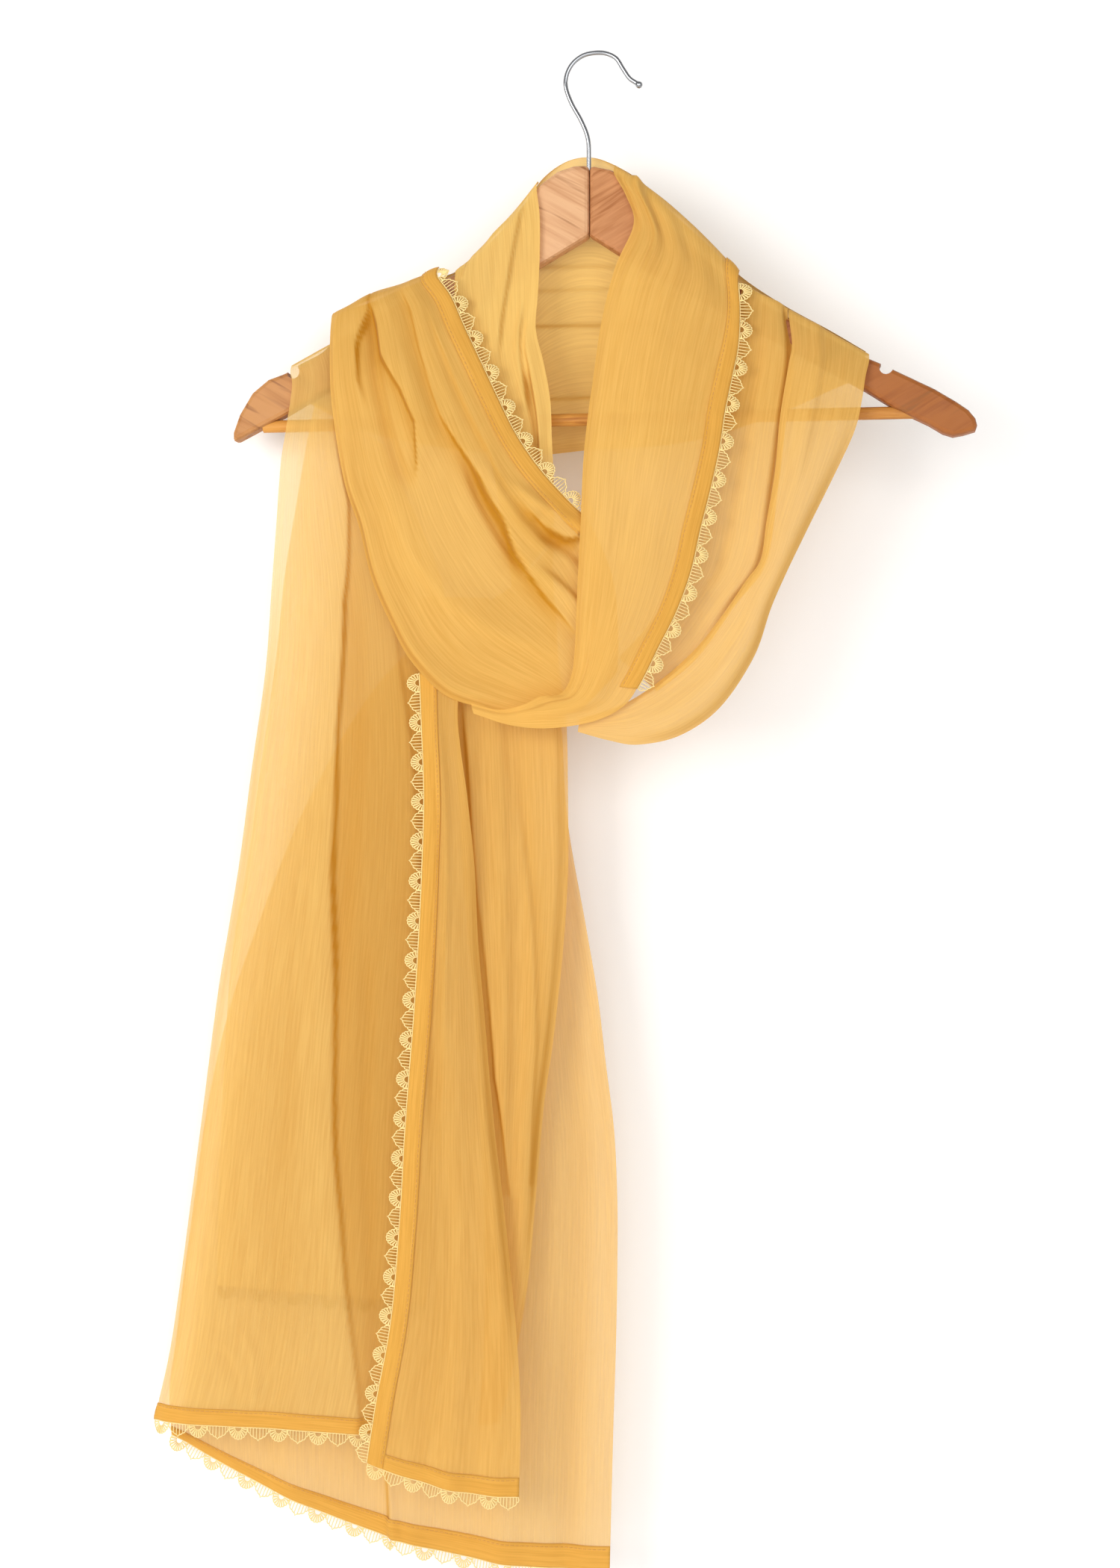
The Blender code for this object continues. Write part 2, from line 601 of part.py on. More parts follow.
def edge_points(edge, inside, normals, spacing):
    """Points along an edge at even spacing, with the way out of the cloth and the normal there."""
    lengths = [0.0]
    for a, b in zip(edge, edge[1:]):
        lengths.append(lengths[-1] + (b - a).length)
    count = max(2, round(lengths[-1] / spacing))
    found = []
    span = 0
    for k in range(count + 1):
        target = lengths[-1] * k / count
        while span < len(edge) - 2 and lengths[span + 1] < target:
            span += 1
        f = (target - lengths[span]) / (lengths[span + 1] - lengths[span])
        at = edge[span].lerp(edge[span + 1], f)
        inner = inside[span].lerp(inside[span + 1], f)
        normal = normals[span].lerp(normals[span + 1], f).normalized()
        run = (edge[span + 1] - edge[span]).normalized()
        out = at - inner
        out = (out - run * out.dot(run)).normalized()
        found.append((at, out, normal))
    return found


def lace_strip(name, edge, inside, normals):
    """A scalloped strip that starts just outside an edge of the cloth."""
    points, faces_normals = [], []
    for k, (at, out, normal) in enumerate(
        edge_points(edge, inside, normals, LACE_PITCH / LACE_STEPS)
    ):
        width = LACE_WIDTHS[k % LACE_STEPS]
        inner = at + out * LACE_GAP
        points.append([inner, inner + out * width])
        faces_normals.append([normal, normal])
    return wall_object(name, points, faces_normals, LACE_WALL, LACE_THREAD)


def column_of(grid, j):
    points, normals = grid
    step = 1 if j == 0 else -1
    edge = [line[j] for line in points]
    inside = [line[j + step] for line in points]
    return edge, inside, [line[j] for line in normals]


def bottom_of(grid):
    points, normals = grid
    return points[-1], points[-2], normals[-1]


def stretch_wall(stretch):
    """The wall of one stretch; gives back its grid of points and normals for the trims."""
    rows = stretch.rows
    acrosses = columns_with_hem(rows, stretch.columns, stretch.left_hem, stretch.right_hem)
    if stretch.bottom_hem:
        alongs = rows_with_hem(rows, stretch.lines)
    else:
        alongs = evenly(stretch.lines)
    grid = surface(stretch_base, stretch_breadth, rows, stretch.folds, acrosses, alongs)
    wall_object(stretch.name, grid[0], grid[1], WALL, CHIFFON)
    return grid


def side_trim(name, grid, side, hemmed, laced):
    """Hem and lace down one side of a stretch: column 0 is its left side, -1 its right side."""
    hem_strip(name + "_hem", grid, hemmed, HEM_ON_LEFT if side == 0 else HEM_ON_RIGHT)
    edge, inside, normals = column_of(grid, side)
    lace_strip(name + "_lace", edge[laced], inside[laced], normals[laced])


def bottom_trim(name, grid, columns=slice(None), inset=0.0):
    """Hem and lace along the bottom of a stretch."""
    hem_strip(name + "_hem", grid, HEM_AT_BOTTOM, columns, inset)
    lace_strip(name + "_lace", *bottom_of(grid))


def build_cloth():
    grids = {stretch.name: stretch_wall(stretch) for stretch in STRETCHES}
    side_trim("right_panel", grids["right_panel"], -1, RIGHT_PANEL_HEMMED, RIGHT_PANEL_LACED)
    side_trim("left_drape", grids["left_drape"], -1, LEFT_DRAPE_HEMMED, LEFT_DRAPE_LACED)
    side_trim("tail_side", grids["tail_front_right"], 0, TAIL_SIDE_HEMMED, TAIL_SIDE_LACED)
    bottom_trim("tail_front_right", grids["tail_front_right"], BESIDE_LEFT_HEM, 2 * SEAM_GAP)
    bottom_trim("tail_front_left", grids["tail_front_left"])
    bottom_trim("tail_back", grids["tail_back"])
    lace_strip("tail_hidden_lace", *bottom_of(grids["tail_hidden"]))
    build_cowl()


def build_cowl():
    """The cowl behind the hanger: over the wood's top edge, and down at its back."""
    wrap = [BACK_COWL_WRAP * t for t in evenly(BACK_COWL_WRAP_COLUMNS)]
    hang = [BACK_COWL_WRAP + (1 - BACK_COWL_WRAP) * t for t in evenly(BACK_COWL_COLUMNS)[1:]]
    points, normals = surface(cowl_base, cowl_breadth, BACK_COWL, BACK_COWL_FOLDS,
                              lambda along: wrap + hang, evenly(BACK_COWL_LINES))
    wall_object("back_cowl", points, normals, WALL, CHIFFON)


def cut(obj, cutter):
    """Takes the cutter's shape out of the object, and hides the cutter."""
    cutter.hide_render = True
    cutter.display_type = "WIRE"
    boolean = obj.modifiers.new("cut_" + cutter.name, "BOOLEAN")
    boolean.operation = "DIFFERENCE"
    boolean.solver = "EXACT"
    boolean.object = cutter


def cylinder(name, start, end, radius, look):
    """A round bar, or the cutter for a round hole."""
    sides = ROUND_SIDES
    start, end = Vector(start), Vector(end)
    axis = (end - start).normalized()
    one = axis.orthogonal().normalized()
    two = axis.cross(one)
    points = []
    for centre in (start, end):
        for k in range(sides):
            angle = 2 * math.pi * k / sides
            points.append(centre + (one * math.cos(angle) + two * math.sin(angle)) * radius)
    faces = [(k, (k + 1) % sides, sides + (k + 1) % sides, sides + k) for k in range(sides)]
    faces.append(tuple(range(sides)))
    faces.append(tuple(range(2 * sides - 1, sides - 1, -1)))
    return new_object(name, points, faces, look, smooth=False)


def arm(name, outline, notch, socket, shank_hole):
    """One half of the hanger: its outline, as thick as the board, with rounded edges."""
    half = WOOD_THICKNESS / 2
    points = [(x, -half, z) for x, z in outline] + [(x, half, z) for x, z in outline]
    count = len(outline)
    faces = [tuple(range(count)), tuple(range(2 * count - 1, count - 1, -1))]
    faces += [(k, count + k, count + (k + 1) % count, (k + 1) % count) for k in range(count)]
    obj = new_object(name, points, faces, WOOD, smooth=False)
    rounding = obj.modifiers.new("rounding", "BEVEL")
    rounding.width = WOOD_ROUNDING * MM
    rounding.segments = ROUNDING_STEPS
    rounding.limit_method = "ANGLE"
    rounding.angle_limit = math.radians(SHARPEST_ROUNDED)
    x, z = notch
    reach = half + CUT_CLEARANCE
    cut(obj, cylinder(name + "_notch", (x, -reach, z), (x, reach, z), NOTCH_RADIUS, WOOD))
    cut(obj, cylinder(name + "_socket", (socket[0], 0, BAR_Z), (socket[1], 0, BAR_Z),
                      BAR_RADIUS + SEAM_GAP, WOOD))
    cut(obj, shank_hole)
    return obj


def build_hanger():
    hole = cylinder("shank_hole", (SHANK_X, 0, WOOD_TOP_Z + 2 * CUT_CLEARANCE),
                    (SHANK_X, 0, WOOD_TOP_Z - SHANK_DEPTH), WIRE_RADIUS + SEAM_GAP, WOOD)
    arm("hanger_left_arm", WOOD_LEFT, NOTCHES[0],
        (BAR_LEFT - SEAM_GAP, BAR_LEFT + SOCKET_LENGTH), hole)
    arm("hanger_right_arm", WOOD_RIGHT, NOTCHES[1],
        (BAR_RIGHT - SOCKET_LENGTH, BAR_RIGHT + SEAM_GAP), hole)
    cylinder("hanger_bar", (BAR_LEFT, 0, BAR_Z), (BAR_RIGHT, 0, BAR_Z), BAR_RADIUS, BAR_WOOD)
    build_hook()


def build_hook():
    """The bent wire, as a tube through its path, with a ball at the open end."""
    xs = [x for x, z in HOOK_PATH]
    zs = [z for x, z in HOOK_PATH]
    path = [Vector((spline(xs, t), 0, spline(zs, t))) for t in evenly(WIRE_STEPS)]
    radii = [WIRE_RADIUS] * len(path)
    tip = path[-1]
    onward = (path[-1] - path[-2]).normalized()
    for past_end, size in HOOK_BALL:
        path.append(tip + onward * past_end * HOOK_BALL_RADIUS)
        radii.append(size * HOOK_BALL_RADIUS)
    sides = WIRE_SIDES
    points = []
    for k, (at, radius) in enumerate(zip(path, radii)):
        run = (path[min(k + 1, len(path) - 1)] - path[max(k - 1, 0)]).normalized()
        out = Vector((run.z, 0, -run.x))
        for s in range(sides):
            angle = 2 * math.pi * s / sides
            points.append(at + (out * math.cos(angle) + Vector((0, 1, 0)) * math.sin(angle)) * radius)
    faces = []
    for k in range(len(path) - 1):
        for s in range(sides):
            a, b = k * sides + s, k * sides + (s + 1) % sides
            faces.append((a, b, b + sides, a + sides))
    faces.append(tuple(range(sides)))
    last = (len(path) - 1) * sides
    faces.append(tuple(range(last + sides - 1, last - 1, -1)))
    return new_object("hanger_hook", points, faces, CHROME)


clear_scene()
build_cloth()
build_hanger()
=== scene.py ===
# %% [markdown]
# # A chiffon stole wound round a wooden hanger
#
# This lesson dresses a finished frame: a long stole of crinkle chiffon with stitched hems and
# scalloped lace, wound round a contoured wooden hanger that hangs from its wire hook.
# The frame gives the size and the place of every piece. The cloth here lies on the same rows
# and folds as the frame's walls, but on a much finer grid, so that its creases and its grain show.

# %% Load the frame
import math
from collections import namedtuple

import bpy
import numpy as np
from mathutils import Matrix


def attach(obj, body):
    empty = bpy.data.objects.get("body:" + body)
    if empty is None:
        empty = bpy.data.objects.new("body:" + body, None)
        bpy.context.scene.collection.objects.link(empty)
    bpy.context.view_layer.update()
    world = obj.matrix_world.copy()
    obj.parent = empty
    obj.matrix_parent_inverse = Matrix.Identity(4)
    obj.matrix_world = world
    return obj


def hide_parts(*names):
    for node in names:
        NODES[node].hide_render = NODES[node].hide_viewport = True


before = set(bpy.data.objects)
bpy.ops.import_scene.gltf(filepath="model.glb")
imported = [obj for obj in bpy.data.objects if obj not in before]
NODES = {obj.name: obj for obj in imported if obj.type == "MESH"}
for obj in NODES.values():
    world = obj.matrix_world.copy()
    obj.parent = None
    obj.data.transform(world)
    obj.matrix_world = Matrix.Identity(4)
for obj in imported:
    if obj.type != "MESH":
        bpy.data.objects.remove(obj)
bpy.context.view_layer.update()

MM = 0.001
bpy.ops.object.select_all(action="DESELECT")

# %% [markdown]
# The photograph looks straight at a white wall, level with the middle of the cloth, and the
# hanger is swivelled a little on its hook. Turning the camera and the wall by the same small
# angle gives that view, while the hanger's arms stay along the X axis.

# %% Camera
VIEW_TURN = math.radians(8)
CAMERA_AT = (0.17122, -1.38969, -0.43875)

camera_data = bpy.data.cameras.new("camera")
camera_data.sensor_width = 36
camera_data.lens = 53.33
camera = bpy.data.objects.new("camera", camera_data)
bpy.context.scene.collection.objects.link(camera)
camera.location = CAMERA_AT
camera.rotation_euler = (math.radians(90), 0, VIEW_TURN)
bpy.context.scene.camera = camera
bpy.context.scene.view_settings.view_transform = "Standard"

# %% [markdown]
# Every finish below is a small network of nodes: a pattern such as a noise feeds a colour, a bump
# or a mask, and these feed a shader. A few helpers write such a network with one line for each
# node, where an input takes a value, or else what another node gives.

# %% Helpers for materials
def new_material(name):
    """A new material, its node tree and the shader that it starts with."""
    material = bpy.data.materials.new(name)
    material.use_nodes = True
    return material, material.node_tree, material.node_tree.nodes["Principled BSDF"]


def set_inputs(tree, node, inputs):
    """Gives each input a value, or links it to another node."""
    for key, value in inputs.items():
        if isinstance(value, bpy.types.Node):
            value = value.outputs[0]
        if isinstance(value, bpy.types.NodeSocket):
            tree.links.new(value, node.inputs[key])
        else:
            node.inputs[key].default_value = value


def add_node(tree, kind, inputs, **settings):
    node = tree.nodes.new("ShaderNode" + kind)
    for setting, value in settings.items():
        setattr(node, setting, value)
    set_inputs(tree, node, inputs)
    return node


def show(tree, shader):
    tree.links.new(shader.outputs[0], tree.nodes["Material Output"].inputs["Surface"])


def blend(tree, factor, first, second):
    """The first colour where the factor is 0, and the second where it is 1."""
    first, second = ((*c, 1) if isinstance(c, tuple) else c for c in (first, second))
    inputs = {"Factor": factor, "A": first, "B": second}
    return add_node(tree, "Mix", inputs, data_type="RGBA").outputs["Result"]


def noise(tree, place, scale, detail, roughness=0.5, distortion=0.0):
    """A noise that is drawn out, with a scale for each direction."""
    there = add_node(tree, "Mapping", {"Vector": place, "Scale": scale})
    return add_node(tree, "TexNoise", {
        "Vector": there, "Scale": 1.0, "Detail": detail, "Roughness": roughness,
        "Distortion": distortion,
    })


def spread(tree, value, low, high):
    """Spreads the values between low and high over the range from 0 to 1."""
    return add_node(tree, "MapRange", {"Value": value, "From Min": low, "From Max": high})

# %% [markdown]
# The wall stands close behind the hanger, so the cloth throws a soft shadow on it. From behind,
# the wall would hide the stole, so its back is clear to the camera: light still meets it, but a
# view from that side looks through. A mix of a plain white shader and a transparent one does this,
# steered by which side of the face is seen and by what kind of ray asks.

# %% Wall and floor
WALL_BEHIND_HOOK = 0.058
FLOOR_Z = -1.30
PAINT_GLOW = 0.12


def one_sided_paint(name, colour):
    """A matt paint whose back lets the camera look through."""
    material, tree, paint = new_material(name)
    set_inputs(tree, paint, {
        "Base Color": colour, "Roughness": 0.95, "Specular IOR Level": 0.1,
        "Emission Color": colour, "Emission Strength": PAINT_GLOW,
    })
    side = add_node(tree, "NewGeometry", {}).outputs["Backfacing"]
    ray = add_node(tree, "LightPath", {}).outputs["Is Camera Ray"]
    both = add_node(tree, "Math", {0: side, 1: ray}, operation="MULTIPLY")
    clear = add_node(tree, "BsdfTransparent", {})
    show(tree, add_node(tree, "MixShader", {"Fac": both, 1: paint, 2: clear}))
    return material


def stage_plane(name, size, location, rotation, material):
    """A flat backdrop that isn't part of the object."""
    bpy.ops.mesh.primitive_plane_add(size=size, location=location, rotation=rotation)
    plane = bpy.context.object
    plane.name = name
    bpy.ops.object.transform_apply(location=True, rotation=True, scale=True)
    plane.data.materials.append(material)
    plane.select_set(False)
    return plane


wall_paint = one_sided_paint("wall_paint", (0.86, 0.855, 0.85, 1))
stage_plane(
    "wall", 6,
    (-math.sin(VIEW_TURN) * WALL_BEHIND_HOOK, math.cos(VIEW_TURN) * WALL_BEHIND_HOOK, 1.0),
    (math.radians(90), 0, VIEW_TURN), wall_paint,
)
stage_plane("floor", 8, (0, 0, FLOOR_Z), (0, 0, 0), wall_paint)

# %% [markdown]
# The light in the photograph is broad and soft and comes from the upper left, with a weaker one
# from the right that keeps the shadows open. Large area lamps give such light: the larger a lamp,
# the softer the edge of its shadow.

# %% Lights
Lamp = namedtuple("Lamp", "name x y z aim_x aim_z size watts colour")
LAMPS = [
    Lamp("key", -1.15, -1.9, -0.1, 0.0, -0.45, 1.2, 29, (1.0, 0.98, 0.95)),
    Lamp("right fill", 1.3, -1.9, -0.1, 0.0, -0.45, 1.4, 11, (1.0, 0.99, 0.97)),
    Lamp("front", 0.6, -3.0, 0.0, 0.0, -0.45, 1.8, 20, (1.0, 1.0, 1.0)),
    Lamp("low", -0.2, -2.6, -1.0, 0.0, -0.6, 1.8, 8, (1.0, 1.0, 1.0)),
]


def add_lamp(lamp):
    data = bpy.data.lights.new(lamp.name, "AREA")
    data.size = lamp.size
    data.energy = lamp.watts
    data.color = lamp.colour
    obj = bpy.data.objects.new(lamp.name, data)
    bpy.context.scene.collection.objects.link(obj)
    obj.location = (lamp.x, lamp.y, lamp.z)
    away = -obj.location
    away.x += lamp.aim_x
    away.z += lamp.aim_z
    obj.rotation_euler = away.to_track_quat("-Z", "Y").to_euler()


for lamp in LAMPS:
    add_lamp(lamp)
world = bpy.data.worlds.new("room")
world.use_nodes = True
world.node_tree.nodes["Background"].inputs["Color"].default_value = (1, 1, 1, 1)
world.node_tree.nodes["Background"].inputs["Strength"].default_value = 0.30
bpy.context.scene.world = world

# %% [markdown]
# A wound stole is one long cloth, but the eye meets it as a few stretches that cross each other.
# Each stretch is described by rows, from its top to its bottom: a row says where its left and
# right edges are, how far its middle comes forward and how far it drops. Folds are ridges that
# run along the stretch: a fold may sway sideways in its middle, and may lean, which makes one
# flank steep like the edge of a pleat. A smooth curve through the rows fills in what lies
# between them. This way of lofting needs few numbers, and each has a meaning on the real cloth.

# %% Rows, folds and the surface they give
Row = namedtuple("Row", "left_x left_y left_z right_x right_y right_z bow dip", defaults=(0, 0))
Fold = namedtuple(
    "Fold", "start_across end_across start_along end_along width height sway lean",
    defaults=(0, 0),
)
# A crisp pleat: its cloth lies double past its edge, for reach millimetres to the right, or to the
# left where reach is below 0. A place on the edge says how far along and across it is, how much the
# cloth is lifted there and how much darker and more golden its colour is painted there, partly for
# the doubled cloth and partly as painted shade.
Pleat = namedtuple("Pleat", "reach edge")
Cloth = namedtuple("Cloth", "piece points normals")
CLOTHS, TRIMS = {}, {}

ACROSS_STEP = 1.2
ALONG_STEP = 2.5
HEM_WIDTH = 10.0
HEM_COLUMNS = 8
# Millimetres over which a pleat rises to its edge, falls behind it, and turns double.
PLEAT_RISE, PLEAT_FALL, PLEAT_TURN = 14, 1.6, 1.2
FOLD_FADE = 0.25
# The cloth's colour is painted darker and more golden on steep flanks and in troughs, as painted
# shade, and where it is bunched, which is partly more cloth and partly painted shade.
STEEP_FROM, STEEP_SPAN, STEEP_SHADE_SHARE = 0.5, 1.3, 0.65
TROUGH_DEPTH, TROUGH_SHADE_SHARE = 6, 0.35
BUNCHED_UNDER, BUNCHED_SPAN = 0.75, 0.5


def curve_through(table, places):
    """Values between evenly spaced rows of a table, on a smooth curve; places run from 0 to 1."""
    table = np.array(table, float)
    ends = np.vstack([2 * table[0] - table[1], table, 2 * table[-1] - table[-2]])
    spans = len(table) - 1
    i = np.minimum((places * spans).astype(int), spans - 1)
    f = (places * spans - i)[:, None]
    a, b, c, d = ends[i], ends[i + 1], ends[i + 2], ends[i + 3]
    slope_b, slope_c = (c - a) / 2, (d - b) / 2
    square = 3 * c - 3 * b - 2 * slope_b - slope_c
    cubic = 2 * b - 2 * c + slope_b + slope_c
    return b + f * (slope_b + f * (square + f * cubic))


def smooth_step(t):
    t = np.clip(t, 0, 1)
    return t * t * (3 - 2 * t)


def unit(vectors):
    return vectors / np.maximum(np.linalg.norm(vectors, axis=-1, keepdims=True), 1e-9)


def grid_normals(points):
    """The direction towards the viewer at each point of a grid."""
    return unit(np.cross(np.gradient(points, axis=0), np.gradient(points, axis=1)))


def pleated(pleats, across, along, breadth):
    """How high crisp pleats lift the cloth, and how much darker its colour is painted past their
    edges: partly doubled cloth, partly painted shade.
    """
    lift, pleat_doubling_and_shade = np.zeros(across.shape), np.zeros(across.shape)
    for reach, edge in pleats:
        places, *courses = zip(*edge)
        line, high, doubled_and_shaded_here = (np.interp(along, places, course)[:, None] for course in courses)
        within = ((along >= places[0]) & (along <= places[-1]))[:, None]
        past = (across - line) * breadth[:, None] * np.sign(reach)
        flank = np.where(past < 0, PLEAT_RISE, PLEAT_FALL)
        lift += within * high * np.exp(-(past / flank) ** 2)
        fades = np.exp(-(np.maximum(past, 0) / abs(reach)) ** 2)
        pleat_doubling_and_shade += within * doubled_and_shaded_here * smooth_step(past / PLEAT_TURN) * fades
    return lift, pleat_doubling_and_shade


def folded(points, folds, across, along, gather=0.0, pleats=()):
    """Lifts a smooth grid along its normals where the folds run, and says where its colour is
    painted darker: partly doubled cloth, partly painted shade.
    """
    breadth = np.linalg.norm(points[:, -1] - points[:, 0], axis=1)
    height = np.zeros(across.shape)
    for fold in (Fold(*values) for values in folds):
        t = (along - fold.start_along) / (fold.end_along - fold.start_along)
        fade_in = 1.0 if fold.start_along == 0 else smooth_step(t / FOLD_FADE)
        fade_out = 1.0 if fold.end_along == 1 else smooth_step((1 - t) / FOLD_FADE)
        strength = np.where((t >= 0) & (t <= 1), fold.height * fade_in * fade_out, 0)
        ridge = fold.start_across + (fold.end_across - fold.start_across) * t
        ridge = ridge + fold.sway * 4 * t * (1 - t)
        away = (across - ridge[:, None]) * breadth[:, None] / fold.width
        away = away / np.where(away > 0, 1 - fold.lean, 1 + fold.lean)
        height += strength[:, None] * np.exp(-away * away)
    lift, pleat_doubling_and_shade = pleated(pleats, across, along, breadth)
    height += lift
    steps = np.maximum(np.linalg.norm(np.gradient(points, axis=1), axis=-1), 0.05)
    slope = np.abs(np.gradient(height, axis=1)) / steps
    # Painted shade: steep flanks and troughs get a darker, more golden colour.
    deep = STEEP_SHADE_SHARE * smooth_step((slope - STEEP_FROM) / STEEP_SPAN)
    deep += TROUGH_SHADE_SHARE * smooth_step(-height / TROUGH_DEPTH)
    # Narrow rows are bunched cloth and are painted darker: partly more cloth and partly painted
    # shade.
    narrow = smooth_step((BUNCHED_UNDER - breadth / breadth.max()) / BUNCHED_SPAN)
    deep = np.clip(deep + gather * narrow[:, None] + pleat_doubling_and_shade, 0, 1)
    return points + grid_normals(points) * height[..., None], deep


def distance_along(line):
    """How far each point of a line is from its start."""
    return np.concatenate([[0], np.cumsum(np.linalg.norm(np.diff(line, axis=0), axis=1))])

# %% [markdown]
# The grid's columns are set out so that a hem always holds the same number of them. A hem then
# keeps its width of 10 mm however wide the stretch is in that row. The bottom hems do the same
# with rows.

# %% Setting out the columns and rows
COARSE_ROWS = 60


def columns_of(breadth, count, left_hem, right_hem):
    """Where the columns stand in each row, from 0 at the left edge to 1 at the right edge."""
    hem = (HEM_WIDTH / np.maximum(breadth, 2.2 * HEM_WIDTH))[:, None]
    start = hem if left_hem else 0 * hem
    end = 1 - hem if right_hem else 1 + 0 * hem
    inside = np.linspace(0, 1, HEM_COLUMNS + 1)[None, :]
    parts = [start + (end - start) * np.linspace(0, 1, count + 1)[None, :]]
    if left_hem:
        parts.insert(0, hem * inside[:, :-1])
    if right_hem:
        parts.append(1 - hem + hem * inside[:, 1:])
    return np.hstack(parts)


def rows_of(length, count, bottom_hem):
    if not bottom_hem:
        return np.linspace(0, 1, count + 1)
    end = 1 - HEM_WIDTH / length
    last = end + (1 - end) * np.linspace(0, 1, HEM_COLUMNS + 1)
    return np.hstack([np.linspace(0, end, count + 1), last[1:]])


def stretch_grid(rows, folds, gather=0.0, pleats=(), left_hem=False, right_hem=False,
                 bottom_hem=False):
    """The points of one stretch in millimetres, as a grid of rows and columns."""
    rows = [Row(*values) for values in rows]
    coarse = curve_through(rows, np.linspace(0, 1, COARSE_ROWS))
    breadth = np.linalg.norm(coarse[:, 3:6] - coarse[:, 0:3], axis=1)
    length = distance_along((coarse[:, 0:3] + coarse[:, 3:6]) / 2)[-1]
    bottom = (coarse[-1, 0:6] - coarse[-2, 0:6]).reshape(2, 3).mean(axis=0)
    end_length = np.linalg.norm(bottom) * (COARSE_ROWS - 1)
    along = rows_of(end_length, round(length / ALONG_STEP), bottom_hem)
    row = curve_through(rows, along)
    breadth_here = np.linalg.norm(row[:, 3:6] - row[:, 0:3], axis=1)
    across = columns_of(breadth_here, round(breadth.mean() / ACROSS_STEP), left_hem, right_hem)
    a = across[..., None]
    points = row[:, None, 0:3] + (row[:, None, 3:6] - row[:, None, 0:3]) * a
    arch = 4 * across * (1 - across)
    points[..., 1] -= row[:, None, 6] * arch
    points[..., 2] -= row[:, None, 7] * arch
    return folded(points, folds, across, along, gather, pleats)

# %% [markdown]
# Crinkle chiffon is a very thin cloth of hard twisted yarn. Close up it shows fine broken lines
# that run along the cloth, and a little light comes through everywhere. The grain is a node
# group: a noise that is stretched along the cloth gives the lines, and a wide one makes the
# cloth denser here and thinner there. It reads the piece's own UV map, which is in metres, so
# the lines follow every fold.

# %% Grain of the chiffon
GRAIN_ACROSS, GRAIN_ALONG = 1100.0, 22.0
BROAD_SHARE = 0.12


def crepe_group():
    group = bpy.data.node_groups.new("crepe_grain", "ShaderNodeTree")
    for name in ("Height", "Lines", "Density"):
        group.interface.new_socket(name=name, in_out="OUTPUT", socket_type="NodeSocketFloat")
    cloth = add_node(group, "UVMap", {}, uv_map="cloth")
    fine = noise(group, cloth, (GRAIN_ACROSS, GRAIN_ALONG, 1), 2.0, 0.6)
    broad = noise(group, cloth, (GRAIN_ACROSS / 3, GRAIN_ALONG / 3, 1), 1.0)
    patches = noise(group, cloth, (14, 3, 1), 2.0)
    both = {0: broad, 1: BROAD_SHARE, 2: fine}
    set_inputs(group, group.nodes.new("NodeGroupOutput"), {
        "Height": add_node(group, "Math", both, operation="MULTIPLY_ADD"),
        "Lines": spread(group, fine, 0.35, 0.65),
        "Density": spread(group, patches, 0.3, 0.7),
    })
    return group


crepe = crepe_group()
print("crepe grain has", len(crepe.nodes), "nodes")

# %% [markdown]
# One layer of chiffon over a white wall looks light, two layers look golden, and where many lie
# together the cloth is a dark ochre. Most of this comes from the light itself: the material mixes
# the cloth's own shader with a transparent one that lets warm light through. The mix follows the
# angle: a ray that meets the cloth at a slant passes more yarn, so folds draw their own darker
# lines. Translucent light from behind keeps the folds glowing and soft. On top of this, a point
# attribute paints the colour of troughs, steep flanks, bunched cloth and the cloth past pleats
# towards a dark gold: partly doubled cloth and partly painted shade.

# %% Chiffon
Chiffon = namedtuple("Chiffon", "layers colour line_colour")
ONE_LAYER_COVERS = 0.56
# The gold that folds are painted towards: partly the colour of doubled cloth and partly painted
# shade.
DOUBLED_AND_SHADED_GOLD = (0.56, 0.25, 0.012)
LIGHT_THROUGH = (1.0, 0.985, 0.94)
GRAIN_STRENGTH, GRAIN_HEIGHT = 0.2, 0.0006
GLOW_SHARE = 0.25
LEAST_FACING = 0.12
LINES_COVER, PATCHES_COVER, COVER_OFFSET = 0.05, 0.04, -0.045
DEEP_CLOSES = 0.5


